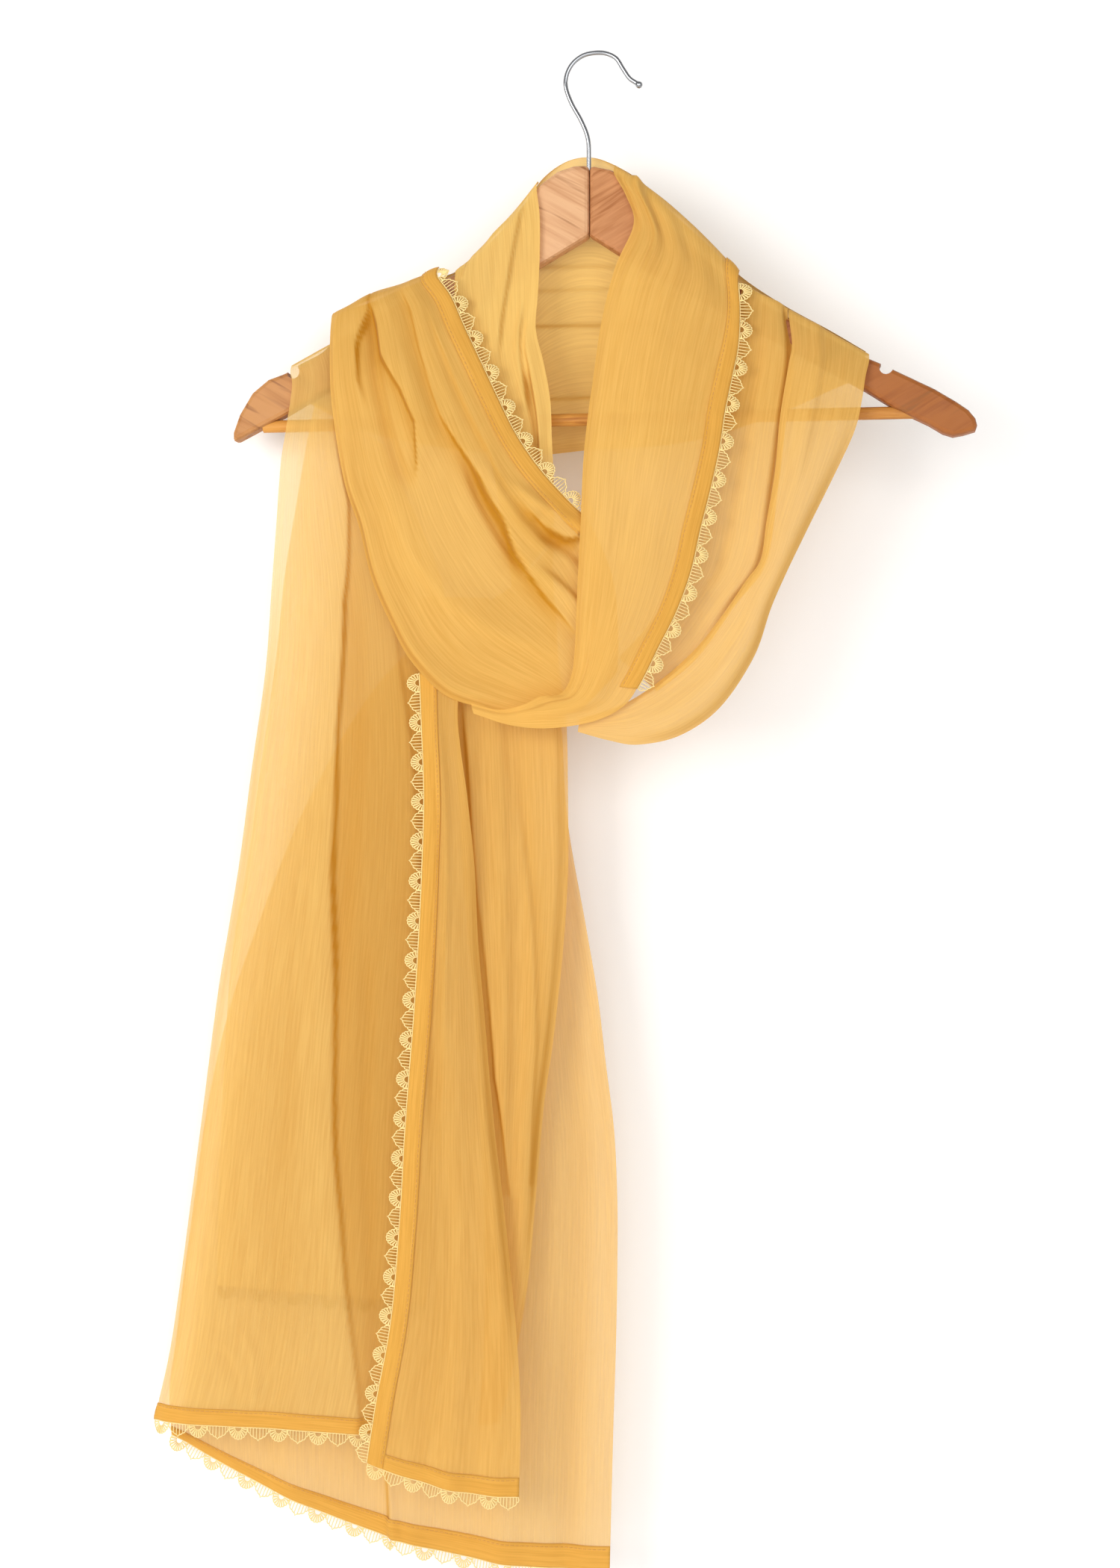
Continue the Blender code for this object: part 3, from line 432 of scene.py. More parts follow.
def chiffon_material(name, look):
    """Yarn mixed with the clear gaps between it."""
    material, tree, cloth = new_material(name)
    flat_cover = 1 - (1 - ONE_LAYER_COVERS) ** look.layers

    def calculate(operation, *values):
        return add_node(tree, "Math", dict(enumerate(values)), operation=operation)

    grain = add_node(tree, "Group", {}, node_tree=crepe).outputs
    bump = add_node(tree, "Bump", {
        "Strength": GRAIN_STRENGTH, "Distance": GRAIN_HEIGHT, "Height": grain["Height"],
    })
    # The point attribute paints folds darker and more golden: partly doubled cloth, partly painted
    # shade.
    deep = add_node(tree, "Attribute", {}, attribute_name="deep").outputs["Fac"]
    colour = blend(tree, grain["Lines"], look.line_colour, look.colour)
    colour = blend(tree, deep, colour, DOUBLED_AND_SHADED_GOLD)
    set_inputs(tree, cloth, {
        "Base Color": colour, "Normal": bump, "Roughness": 0.8, "Specular IOR Level": 0.15,
        "Sheen Weight": 0.15, "Sheen Roughness": 0.4,
    })
    glow = add_node(tree, "BsdfTranslucent", {"Color": colour, "Normal": bump})
    body = add_node(tree, "MixShader", {"Fac": GLOW_SHARE, 1: cloth, 2: glow})

    slant = add_node(tree, "LayerWeight", {"Blend": 0.5}).outputs["Facing"]
    straight_on = calculate("MAXIMUM", calculate("SUBTRACT", 1.0, slant), LEAST_FACING)
    cover = calculate("MULTIPLY_ADD", grain["Lines"], LINES_COVER, flat_cover + COVER_OFFSET)
    cover = calculate("MULTIPLY_ADD", grain["Density"], PATCHES_COVER, cover)
    cover = calculate("MULTIPLY_ADD", deep, DEEP_CLOSES * (1 - flat_cover), cover)
    gaps = calculate("SUBTRACT", 1.0, cover)
    gaps = calculate("POWER", gaps, calculate("DIVIDE", 1.0, straight_on))
    tint = (*(c ** look.layers for c in LIGHT_THROUGH), 1)
    clear = add_node(tree, "BsdfTransparent", {"Color": tint})
    covered = calculate("SUBTRACT", 1.0, gaps)
    show(tree, add_node(tree, "MixShader", {"Fac": covered, 1: clear, 2: body}))
    return material


YARN = (0.80, 0.485, 0.125), (0.75, 0.435, 0.10)
# A lighter copy of the same yarn, as painted light: for the collar, which lies in shade, and for
# the brightly lit front left tail and its hidden layer.
LIGHTENED_YARN = (0.87, 0.59, 0.18), (0.82, 0.53, 0.15)
HEM_YARN = (0.84, 0.47, 0.09), (0.77, 0.41, 0.07)
CHIFFON = {
    layers: chiffon_material(f"chiffon_{round(10 * layers)}_deep", Chiffon(layers, *YARN))
    for layers in (1.5, 2, 2.5)
}
# These materials use the lighter copy of the yarn, which is painted light.
CHIFFON["lightened"] = chiffon_material("chiffon_pale", Chiffon(1, *LIGHTENED_YARN))
CHIFFON["lightened_collar"] = chiffon_material("chiffon_collar", Chiffon(2.5, *LIGHTENED_YARN))
HEM_CLOTH = chiffon_material("hem_cloth", Chiffon(3, *HEM_YARN))

# %% [markdown]
# A sheet of cloth is one layer of faces, shaded smooth, with the UV map that the grain needs.
# The mesh is written point by point, because its shape comes from the rows and folds and not
# from a primitive.

# %% Laying a sheet
def grid_faces(rows, columns):
    index = np.arange(rows * columns).reshape(rows, columns)
    corners = (index[:-1, :-1], index[1:, :-1], index[1:, 1:], index[:-1, 1:])
    return np.stack(corners, axis=-1).reshape(-1, 4)


def new_piece(name, points, faces, material):
    mesh = bpy.data.meshes.new(name)
    mesh.from_pydata((np.asarray(points).reshape(-1, 3) * MM).tolist(), [], faces)
    mesh.shade_smooth()
    mesh.materials.append(material)
    piece = bpy.data.objects.new(name, mesh)
    bpy.context.scene.collection.objects.link(piece)
    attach(piece, "root")
    return piece


def spread_uv(mesh, points, faces):
    """A UV map in metres: U across the stretch, V along it."""
    wide = np.linalg.norm(np.diff(points, axis=1), axis=2).mean(axis=0)
    long = np.linalg.norm(np.diff(points, axis=0), axis=2).mean(axis=1)
    u = np.concatenate([[0], np.cumsum(wide)]) * MM
    v = np.concatenate([[0], np.cumsum(long)]) * MM
    both = np.stack(np.broadcast_arrays(u[None, :], v[:, None]), axis=-1).reshape(-1, 2)
    layer = mesh.uv_layers.new(name="cloth")
    layer.data.foreach_set("uv", both[np.asarray(faces).ravel()].ravel().astype(np.float32))


def measured_cut(points):
    """The width and the length of a stretch in metres, along its folds, before it was hung."""
    wide = np.linalg.norm(np.diff(points, axis=1), axis=2).sum(axis=1).mean()
    long = np.linalg.norm(np.diff(points, axis=0), axis=2).sum(axis=0).mean()
    return wide * MM, long * MM


def lay_cloth(name, grid, chiffon):
    points, deep = grid
    faces = grid_faces(*points.shape[:2]).tolist()
    piece = new_piece(name + "_cloth", points, faces, CHIFFON[chiffon])
    spread_uv(piece.data, points, faces)
    # The attribute carries the painted fold colour: partly doubled cloth, partly painted shade.
    attribute = piece.data.attributes.new("deep", "FLOAT", "POINT")
    attribute.data.foreach_set("value", deep.ravel().astype(np.float32))
    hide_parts(name)
    wide, long = measured_cut(points)
    print(f"{name}: {len(faces)} faces, {wide / MM:.0f} mm across and {long / MM:.0f} mm along")
    CLOTHS[name] = Cloth(piece, points, grid_normals(points))


def stretch(name, chiffon, rows, folds, **shape):
    lay_cloth(name, stretch_grid(rows, folds, **shape), chiffon)

# %% [markdown]
# The hem is the cloth's edge folded over twice and stitched down, so it is a band of several
# layers that shows as a denser, deeper gold. It is made from the points of the stretch, moved
# out, and it swells a little between its edge and the line of stitches, which pulls it flat.

# %% Hem bands
HEM_LIFT, HEM_SWELL, HEM_BACK, HEM_EDGE, HEM_INNER = 0.75, 0.45, -0.3, 0.2, 0.15
STITCH_AT = 0.86
PUCKER = 0.28


def closed_band(name, front, back, material):
    """A thin closed band between two grids of points."""
    rows, columns = front.shape[:2]
    faces = grid_faces(rows, columns)
    half = rows * columns
    index = np.arange(half).reshape(rows, columns)
    rim = np.concatenate([index[0], index[1:, -1], index[-1, -2::-1], index[-2:0:-1, 0]])
    after = np.roll(rim, -1)
    sides = np.stack([rim, after, after + half, rim + half], axis=-1)
    faces = np.vstack([faces, faces[:, ::-1] + half, sides])
    if (grid_normals(front) * (front - back)).sum() < 0:
        faces = faces[:, ::-1]
    both = np.concatenate([front.reshape(-1, 3), back.reshape(-1, 3)])
    piece = new_piece(name, both, faces.tolist(), material)
    spread_uv(piece.data, np.concatenate([front, back], axis=0), faces.tolist())
    return piece


def puckers(distance):
    """Small uneven ripples along a seam, from -1 to 1."""
    return (
        0.5 * np.sin(distance / 2.9) + 0.3 * np.sin(distance / 1.7 + 1.3)
        + 0.2 * np.sin(distance / 6.1 + 0.4)
    )


def hem_band(name, points, normals):
    """A band on a stretch; the grid runs along the edge, and inwards from it."""
    share = np.linspace(0, 1, points.shape[1])
    swell = HEM_SWELL * np.sin(np.pi * np.clip(share / STITCH_AT, 0, 1)) ** 0.6
    rise = np.where(share > STITCH_AT, HEM_INNER, HEM_EDGE + swell)
    ripple = puckers(distance_along(points[:, 0]))[:, None]
    ripple = PUCKER * ripple * np.sin(np.pi * share)[None, :]
    front = points + normals * (HEM_LIFT + rise[None, :] + ripple)[..., None]
    back = points + normals * (HEM_LIFT + HEM_BACK + ripple)[..., None]
    piece = closed_band(name + "_band", front, back, HEM_CLOTH)
    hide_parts(name)
    return piece, front

# %% [markdown]
# Threads are thin tubes: a path with a ring of points round each place on it. Lace and stitches
# are hundreds of short threads, and they are joined into one mesh for each hem.

# %% Threads
THREAD_SIDES = 6


def thread_mesh(threads):
    """The points and faces of many tubes; a thread is its path, its up directions and its radii."""
    all_points, all_faces, first = [], [], 0
    turn = np.linspace(0, 2 * np.pi, THREAD_SIDES, endpoint=False)
    for path, up, radii in threads:
        run = unit(np.gradient(path, axis=0))
        side = unit(np.cross(run, up))
        round_it = side[:, None] * np.cos(turn)[None, :, None]
        round_it = round_it + np.cross(side, run)[:, None] * np.sin(turn)[None, :, None]
        rings = path[:, None] + round_it * np.asarray(radii)[:, None, None]
        count = len(path)
        index = first + np.arange(count * THREAD_SIDES).reshape(count, THREAD_SIDES)
        after = np.roll(index, -1, axis=1)
        quads = np.stack([index[:-1], after[:-1], after[1:], index[1:]], axis=-1)
        all_faces += quads.reshape(-1, 4).tolist()
        all_faces += [index[0, ::-1].tolist(), index[-1].tolist()]
        all_points.append(rings.reshape(-1, 3))
        first += count * THREAD_SIDES
    return np.concatenate(all_points), all_faces


Edge = namedtuple("Edge", "length distance at out normal")


def edge_of(line, inside, normals):
    """An edge of a stretch, with the way out of the cloth at every point."""
    run = unit(np.gradient(line, axis=0))
    out = line - inside
    out = unit(out - run * (out * run).sum(axis=1, keepdims=True))
    distance = distance_along(line)
    return Edge(distance[-1], distance, line, out, normals)


def between(values, distance, along):
    """Values between the points of a line, at distances along it."""
    return np.stack([np.interp(along, distance, values[:, k]) for k in range(3)], axis=-1)


def on_edge(edge, along, away, rise):
    """Points at a distance along an edge, away from the cloth and out of its face."""
    at, out, normal = (
        between(values, edge.distance, along) for values in (edge.at, edge.out, edge.normal)
    )
    normal = unit(normal)
    at = at + unit(out) * np.asarray(away)[:, None]
    return at + normal * np.asarray(rise)[:, None], normal

# %% [markdown]
# The lace is machine made crochet. Its pattern repeats every 24 mm: a fan, whose close spokes
# spread from a half round gap, and then a pointed arch of six bars with a small picot at its tip.
# One repeat is drawn flat, in millimetres along the hem and away from it, and every repeat is
# laid along the curved edge.

# %% The lace's repeat
LACE_PITCH = 24.0
LACE_RISE = 0.3
FLUTTER = 0.35
FAN_AT = 6.0
FAN_GAP = (2.1, 2.5)
FAN_RIM = (5.2, 6.9)
FAN_SPOKES = 10
FAN_BULGE = 0.07
ARCH_OUTLINE = [
    (11.9, 0.8), (11.6, 2.2), (12.0, 3.4), (13.0, 3.8), (13.2, 4.8), (14.0, 5.7), (15.0, 5.8),
    (15.4, 6.5), (16.4, 6.9), (17.2, 7.3), (17.8, 8.4), (18.4, 7.3), (19.2, 6.9), (20.2, 6.5),
    (20.6, 5.8), (21.6, 5.7), (22.4, 4.8), (22.6, 3.8), (23.6, 3.4), (24.0, 2.2), (23.7, 0.8),
]
ARCH_BARS = [(13.1, 3.8), (14.9, 5.8), (16.8, 7.0), (18.8, 7.0), (20.7, 5.8), (22.5, 3.8)]
HEADER_THREAD, BAR_THREAD, SPOKE_THREAD = 0.38, 0.27, 0.33


def lace_repeat():
    """The threads of one repeat: places along and away, and the radii."""
    threads = []

    def thread(places, radii):
        places = np.array(places, float)
        threads.append((places, np.broadcast_to(np.asarray(radii, float), len(places))))

    thread([(k * LACE_PITCH / 10, 0.35) for k in range(11)], HEADER_THREAD)
    turns = np.linspace(0.05, np.pi - 0.05, 13)
    ring = [(FAN_AT + FAN_GAP[0] * math.cos(t), 0.8 + FAN_GAP[1] * math.sin(t)) for t in turns]
    thread(ring, BAR_THREAD)
    scallops = np.linspace(-0.08, np.pi + 0.08, 4 * FAN_SPOKES + 1)
    rim = []
    for k, t in enumerate(scallops):
        bulge = 1 + FAN_BULGE * math.sin(math.pi * ((k / 4 + 0.5) % 1))
        rim.append((
            FAN_AT + FAN_RIM[0] * bulge * math.cos(t), 0.6 + FAN_RIM[1] * bulge * math.sin(t),
        ))
    thread(rim, SPOKE_THREAD)
    for k in range(FAN_SPOKES):
        t = math.pi * (k + 0.5) / FAN_SPOKES
        spoke = []
        for share in (0.0, 0.5, 1.0):
            wide = FAN_GAP[0] + (FAN_RIM[0] - FAN_GAP[0]) * share
            high = FAN_GAP[1] + (FAN_RIM[1] - FAN_GAP[1]) * share
            spoke.append((FAN_AT + wide * math.cos(t), 0.7 + high * math.sin(t)))
        thread(spoke, (0.30, 0.44, 0.58))
    thread(ARCH_OUTLINE, SPOKE_THREAD)
    for at, high in ARCH_BARS:
        thread([(at, 0.4), (at, high / 2), (at, high)], BAR_THREAD)
    thread([(11.2, 0.5), (11.5, 2.2), (12.2, 3.0)], BAR_THREAD)
    return threads


REPEAT = lace_repeat()
print("one repeat of the lace has", len(REPEAT), "threads")

# %% [markdown]
# Lace and sewing thread are twisted cotton: matt, with a soft sheen, and a little darker here and
# there. A fine noise gives both the darker places and the bump. The lace behind the front tail gets
# a darker thread colour, as painted shade for the front layer's shade over it.

# %% Thread material
def thread_material(name, colour, dark):
    material, tree, shader = new_material(name)
    place = add_node(tree, "TexCoord", {}).outputs["Object"]
    twist = add_node(tree, "TexNoise", {"Vector": place, "Scale": 1500.0, "Detail": 2.0})
    set_inputs(tree, shader, {
        "Base Color": blend(tree, twist, dark, colour), "Roughness": 0.55, "Sheen Weight": 0.2,
        "Normal": add_node(tree, "Bump", {"Strength": 0.4, "Distance": 0.0002, "Height": twist}),
    })
    return material


LACE_THREAD = thread_material("lace_thread", (0.96, 0.80, 0.38), (0.78, 0.54, 0.17))
# Painted shade: the lace behind the front tail is given a darker thread colour.
SHADED_THREAD = thread_material("shaded_lace_thread", (0.62, 0.33, 0.05), (0.50, 0.24, 0.03))
SEWING_THREAD = thread_material("sewing_thread", (0.72, 0.38, 0.08), (0.50, 0.22, 0.03))

# %% [markdown]
# The repeats are laid one after the other along the edge. A whole number of them is eased a
# little to fit its length, as a sewer eases lace. The tips sway a little to the front and back.

# %% Lace along an edge
def lace_on(name, edge, thread=LACE_THREAD):
    """Lace along an edge, a whole number of repeats a little eased to fit."""
    count = max(1, round(edge.length / LACE_PITCH))
    ease = edge.length / (count * LACE_PITCH)
    threads = []
    for k in range(count):
        for places, radii in REPEAT:
            along = np.clip((places[:, 0] + k * LACE_PITCH) * ease, 0, edge.length)
            flutter = FLUTTER * np.sin(along / 5.3) * places[:, 1] / 8
            path, up = on_edge(edge, along, places[:, 1], LACE_RISE + flutter)
            threads.append((path, up, radii))
    points, faces = thread_mesh(threads)
    piece = new_piece(name + "_threads", points, faces, thread)
    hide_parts(name)
    print(f"{name}: {count} repeats, {len(faces)} faces")
    return piece

# %% [markdown]
# A line of machine stitches holds the hem down near its inner edge. Each stitch is a short
# thread that rises between the two holes where it dives into the cloth.

# %% Stitches
STITCH_LENGTH, STITCH_PITCH, STITCH_RADIUS = 2.3, 3.0, 0.2
STITCH_PLACES = np.array([0, 0.2, 0.5, 0.8, 1.0])
STITCH_RISE = np.array([-0.25, 0.1, 0.18, 0.1, -0.25])


def stitches_on(name, front, normals):
    """Stitches along a hem band; the grid runs along the edge, and inwards from it."""
    column = STITCH_AT * (front.shape[1] - 1)
    low = int(column)
    line = front[:, low] + (front[:, low + 1] - front[:, low]) * (column - low)
    normals = normals[:, low]
    distance = distance_along(line)
    threads = []
    start = 1.0
    while start + STITCH_LENGTH < distance[-1]:
        along = start + STITCH_LENGTH * STITCH_PLACES
        at, up = between(line, distance, along), between(normals, distance, along)
        threads.append((at + up * STITCH_RISE[:, None], up, np.full(5, STITCH_RADIUS)))
        start += STITCH_PITCH
    points, faces = thread_mesh(threads)
    piece = new_piece(name, points, faces, SEWING_THREAD)
    print(f"{name}: {len(threads)} stitches")
    return piece

# %% [markdown]
# Each trimmed edge gets the same three things in the same order: the hem band, its stitches and
# the lace outside it. They take the outermost columns or rows of the stretch's own grid, so they
# follow every fold of it and can't come loose from it.

# %% Trimming an edge
LEFT, RIGHT = slice(0, HEM_COLUMNS + 1), slice(-1, -HEM_COLUMNS - 2, -1)


def hem_on(name, points, normals):
    band, front = hem_band(name + "_hem", points, normals)
    return [band, stitches_on(name + "_stitches", front, normals)]


def trim_side(stretch_name, name, side, start, end, lace_start=None):
    """Hem, stitches and lace along one side, between two shares of the stretch's length."""
    cloth = CLOTHS[stretch_name]
    last = len(cloth.points) - 1

    def part_from(first):
        rows = slice(round(first * last), round(end * last) + 1)
        return cloth.points[rows, side], cloth.normals[rows, side]

    pieces = hem_on(name, *part_from(start))
    points, normals = part_from(lace_start or start)
    pieces.append(lace_on(name + "_lace", edge_of(points[:, 0], points[:, 1], normals[:, 0])))
    TRIMS.setdefault(stretch_name, []).extend(pieces)


def trim_bottom(name, first_column=0, hem=True, thread=LACE_THREAD):
    """Hem, stitches and lace on the bottom of a stretch."""
    points = CLOTHS[name].points[:-HEM_COLUMNS - 2:-1].transpose(1, 0, 2)
    normals = CLOTHS[name].normals[:-HEM_COLUMNS - 2:-1].transpose(1, 0, 2)
    pieces = hem_on(name, points[first_column:], normals[first_column:]) if hem else []
    edge = edge_of(points[:, 0], points[:, 1], normals[:, 0])
    TRIMS[name] = pieces + [lace_on(name + "_lace", edge, thread)]

# %% [markdown]
# The first end of the stole comes over the right of the neck, runs down and turns left at the
# bottom of the loop, where the turn bunches its folds into a crescent. Its right side is a
# hemmed and laced edge. It could be draped by a cloth simulation, but that wouldn't stop at
# the folds of the photograph, so its rows turn with the cloth instead.

# %% Right panel
stretch("right_panel", 2.5, right_hem=True, rows=[
    (10, 0, -67, 84, 0, -133.5, 0, -5), (10, -6, -68, 84, -8.5, -135, 0, -5),
    (10, -9, -74, 84, -12.5, -142, 0, -5), (17, -10, -87, 85, -14, -155, 1, -4),
    (22, -13, -105, 85, -16, -169, 2, -3), (11, -16, -131, 84, -18, -183, 3, -2),
    (3, -19, -163, 81, -21, -199, 4), (-2, -23, -198, 77, -25, -220, 4),
    (-5, -26, -223, 74, -28, -242, 4), (-7, -30, -249, 69, -31, -266, 4),
    (-8, -34, -283, 63, -34, -291, 4), (-9, -36, -307, 58, -36, -314, 4),
    (-10, -38, -335, 50, -38, -337, 4), (-11, -39, -359, 39, -39, -359, 4),
    (-13, -40, -375, 29, -39, -379, 3), (-19, -40, -385, 19, -38, -393, 3, 1),
    (-31, -39, -387, 1, -37, -402, 2, 1), (-41, -38, -392, -26, -37, -406, 1),
    (-56, -36, -395, -49, -36, -404), (-73, -34, -391, -71, -34, -397),
], folds=[
    (0.14, 0.2, 0.01, 0.3, 4, 3.5, 0.03, -0.5), (0.07, 0.04, 0.04, 0.32, 3, -2),
    (0.26, 0.3, 0.03, 0.26, 5, -0.8), (0.16, 0.22, 0.2, 0.75, 9, 2),
    (0.42, 0.45, 0.02, 0.55, 10, 2.5), (0.57, 0.54, 0.05, 0.34, 7, -0.7),
    (0.66, 0.6, 0.02, 0.8, 11, 2), (0.45, 0.5, 0.6, 0.95, 9, 2.5),
    (0.2, 0.16, 0.62, 1, 3, -1.4, 0, 0.5), (0.72, 0.62, 0.66, 0.98, 7, -1.6),
    (0, 0, 0.2, 0.95, 4, -3),
])
trim_side("right_panel", "right_panel", RIGHT, 0.036, 0.75, lace_start=0.107)

# %% [markdown]
# Behind that lace lies a shaded stretch, as far as the deep fold. It is the same cloth as the
# loop outside it, and a stretch of its own lets the fold between them be really open.

# %% Middle right
stretch("mid_right", 2, rows=[
    (87, 0, -140.5, 113.3, 0, -156), (87, -6, -141.5, 113.3, -6, -156.8),
    (86, -9, -147, 113.5, -7.7, -161.5), (78, -10, -186, 117, -10, -187),
    (70, -13, -227, 112, -14, -228), (62, -16, -262, 108, -17, -263),
    (52, -19, -306, 101, -20, -308), (43, -20, -328, 83, -21, -333),
    (29, -21, -348, 61, -22, -364), (14, -21, -364, 37, -22, -384),
], folds=[
    (0.62, 0.55, 0.05, 0.9, 8, 2), (0.46, 0.4, 0.1, 0.85, 5, -1.6, 0, -0.3),
    (0.88, 0.88, 0.05, 0.92, 4, 2.5, 0, 0.7), (0.97, 0.97, 0.1, 0.92, 4, -3),
])

# %% [markdown]
# The outer loop goes over the right arm and down to the bottom of the loop. A fold with a height
# below 0 rolls its outer edge back, so that no cut edge shows there.

# %% Right loop
stretch("right_loop", 2, rows=[
    (114, 0, -156.5, 161, 0, -185), (114, -6, -157, 161, -6, -185),
    (114, -9, -162, 161, -9, -190), (116, -12, -179, 159, -11, -199, 1),
    (114, -15, -192, 157, -13, -213, 2), (109, -19, -223, 153, -16, -232, 3),
    (106, -22, -255, 141, -19, -260, 3), (101, -25, -286, 126, -22, -291, 3),
    (98, -27, -307, 115, -24, -314, 3), (89, -28, -320, 106, -25, -335, 3),
    (76, -29, -339, 96, -27, -364, 3), (60, -30, -359, 76, -29, -394, 3),
    (40, -31, -377, 52, -30, -411, 3), (23, -32, -389, 27, -31, -416, 2),
    (7, -32, -396, 9, -32, -413, 1), (-8, -32, -400, -9, -32, -408),
], folds=[
    (0.36, 0.42, 0.02, 0.46, 4, 2, 0, 0.45), (0.62, 0.62, 0.04, 0.4, 6, -0.7),
    (0.7, 0.6, 0.35, 0.95, 9, 3), (0.36, 0.36, 0.45, 0.9, 6, -0.9),
    (0.09, 0.1, 0.28, 0.95, 3, 1.8, 0, 0.5), (0, 0, 0.25, 0.95, 3, -2.5),
    (1, 1, 0.25, 0.95, 5, -4),
])

# %% [markdown]
# The cowl falls from the left shoulder to the bottom of the loop, and its upper edge is laced.
# Its folds are tight, because the whole width of the stole is gathered in it. Five crisp
# pleats follow the sharp edges in the photograph, which soft folds alone would blur.

# %% Left drape
# The gather paints the bunched drape darker: partly more cloth and partly painted shade.
stretch("left_drape", 2.5, gather=0.35, right_hem=True, rows=[
    (-163, 0, -151, -97, 0, -125.5), (-163, -6, -152, -97, -8, -127),
    (-163, -10, -157, -97, -12.5, -133), (-163, -13, -172, -88, -15.5, -146, 1),
    (-162, -15, -202, -80, -17, -164, 2), (-158, -16, -234, -70, -19, -185, 3),
    (-153, -18, -261, -59, -21, -208, 4), (-145, -20, -284, -49, -23, -228, 4),
    (-137, -22, -315, -38, -25, -245, 4), (-124, -24, -344, -26, -26, -260, 4),
    (-112, -25, -365, -15, -25, -272, 4), (-92, -26, -385, -3, -23, -285, 4),
    (-70, -27, -393, 6, -22, -303, 3), (-47, -27, -398, 12, -22, -324, 2),
    (-25, -27, -399, 14, -24, -351, 1), (-7, -27, -395, 14, -27, -373),
], folds=[
    (0.05, 0.04, 0.02, 0.85, 5, 3, 0, -0.5), (0.36, 0.36, 0.12, 0.5, 4.5, -4, -0.02),
    (0.53, 0.6, 0.08, 0.46, 9, 3), (0.76, 0.76, 0.04, 0.46, 6, 2.5),
    (0.7, 0.65, 0.44, 0.74, 3, -4), (0.8, 0.78, 0.46, 0.74, 4, 3),
    (0.85, 0.97, 0.54, 0.76, 3.5, 3, 0, -0.5), (0.82, 0.92, 0.66, 0.84, 4, -4),
    (0.7, 0.77, 0.7, 0.92, 4, 3.5, 0, 0.4), (0.22, 0.52, 0.4, 0.92, 9, 3.5, -0.04, -0.3),
    (0.13, 0.16, 0.55, 0.96, 8, -1.5), (0, 0, 0.3, 0.95, 4, -4),
], pleats=[
    Pleat(5, [
        (0.03, 0.36, 2, 0.2), (0.155, 0.345, 4, 0.5), (0.22, 0.21, 4, 0.5),
        (0.27, 0.2, 3, 0.3), (0.31, 0.23, 0, 0),
    ]),
    Pleat(-7, [
        (0.03, 0.4, 2, 0.2), (0.14, 0.39, 3, 0.3), (0.25, 0.41, 5, 0.5),
        (0.315, 0.5, 6, 0.5), (0.37, 0.53, 6, 0.5), (0.43, 0.46, 4, 0.4),
        (0.46, 0.4, 0, 0),
    ]),
    Pleat(-8, [
        (0.1, 0.69, 0, 0), (0.2, 0.69, 3, 0.3), (0.38, 0.68, 4, 0.4),
        (0.51, 0.74, 6, 0.8), (0.6, 0.73, 6, 0.9), (0.67, 0.675, 6, 0.9),
        (0.77, 0.64, 5, 0.6), (0.86, 0.64, 2, 0.2),
    ]),
    Pleat(-4, [
        (0.2, 0.82, 0, 0), (0.28, 0.825, 3, 0.3), (0.48, 0.84, 3, 0.4),
        (0.64, 0.83, 2, 0.2),
    ]),
    Pleat(-9, [
        (0.57, 0.85, 0, 0), (0.62, 0.85, 4, 0.6), (0.68, 0.86, 5, 0.9),
        (0.715, 0.88, 5, 0.9), (0.74, 0.94, 4, 0.7),
    ]),
])
trim_side("left_drape", "left_drape", RIGHT, 0.038, 0.731, lace_start=0.077)

# %% [markdown]
# A narrow band of the other end lies left of the neck. One long fold that leans crosses it
# from its upper right to its lower left, as the cloth is pulled under the drape.

# %% Neck band
# The collar material is the lighter copy of the yarn, painted light for cloth that lies in shade.
stretch("neck_band_left", "lightened_collar", rows=[
    (-87, 0, -127, -37, 0, -75, 0, 3), (-87, -6, -128, -37, -6, -76, 0, 3),
    (-87, -9, -134, -37, -9, -82, 0, 3), (-87, -9, -146, -35, -10, -98, 0, 2),
    (-84, -9, -164, -35, -10, -123, 0, 1), (-80, -10, -187, -36, -11, -145),
    (-74, -10, -210, -37, -12, -166), (-68, -11, -232, -32, -13, -187),
    (-62, -12, -255, -28, -14, -209), (-58, -12, -277, -27, -14, -233),
    (-54, -11, -300, -26, -13, -260), (-52, -10.5, -321, -26, -12.5, -291),
], folds=[
    (0.92, 0.36, 0.1, 0.56, 6, 3.5, -0.02, 0.7), (0.55, 0.1, 0.03, 0.6, 8, 2),
    (0.15, 0.05, 0.03, 0.22, 3, -1.8), (0.8, 0.62, 0.42, 0.72, 3, 2.5, 0, 0.6),
    (0.745, 0.7, 0.58, 0.84, 2.4, -3.5, 0, 0.3), (0.88, 0.8, 0.48, 0.95, 4, 3, -0.05, -0.6),
])

# %% [markdown]
# The front left tail hangs straight and widens to its hem. It is a single layer, so the wall shows
# through it, and the long pleat at its right lies double and its colour is painted golden. Past the
# pleat the cloth runs on behind the next tail, recessed and in shade: that pleat's great reach
# keeps its colour painted darker there, as painted shade.

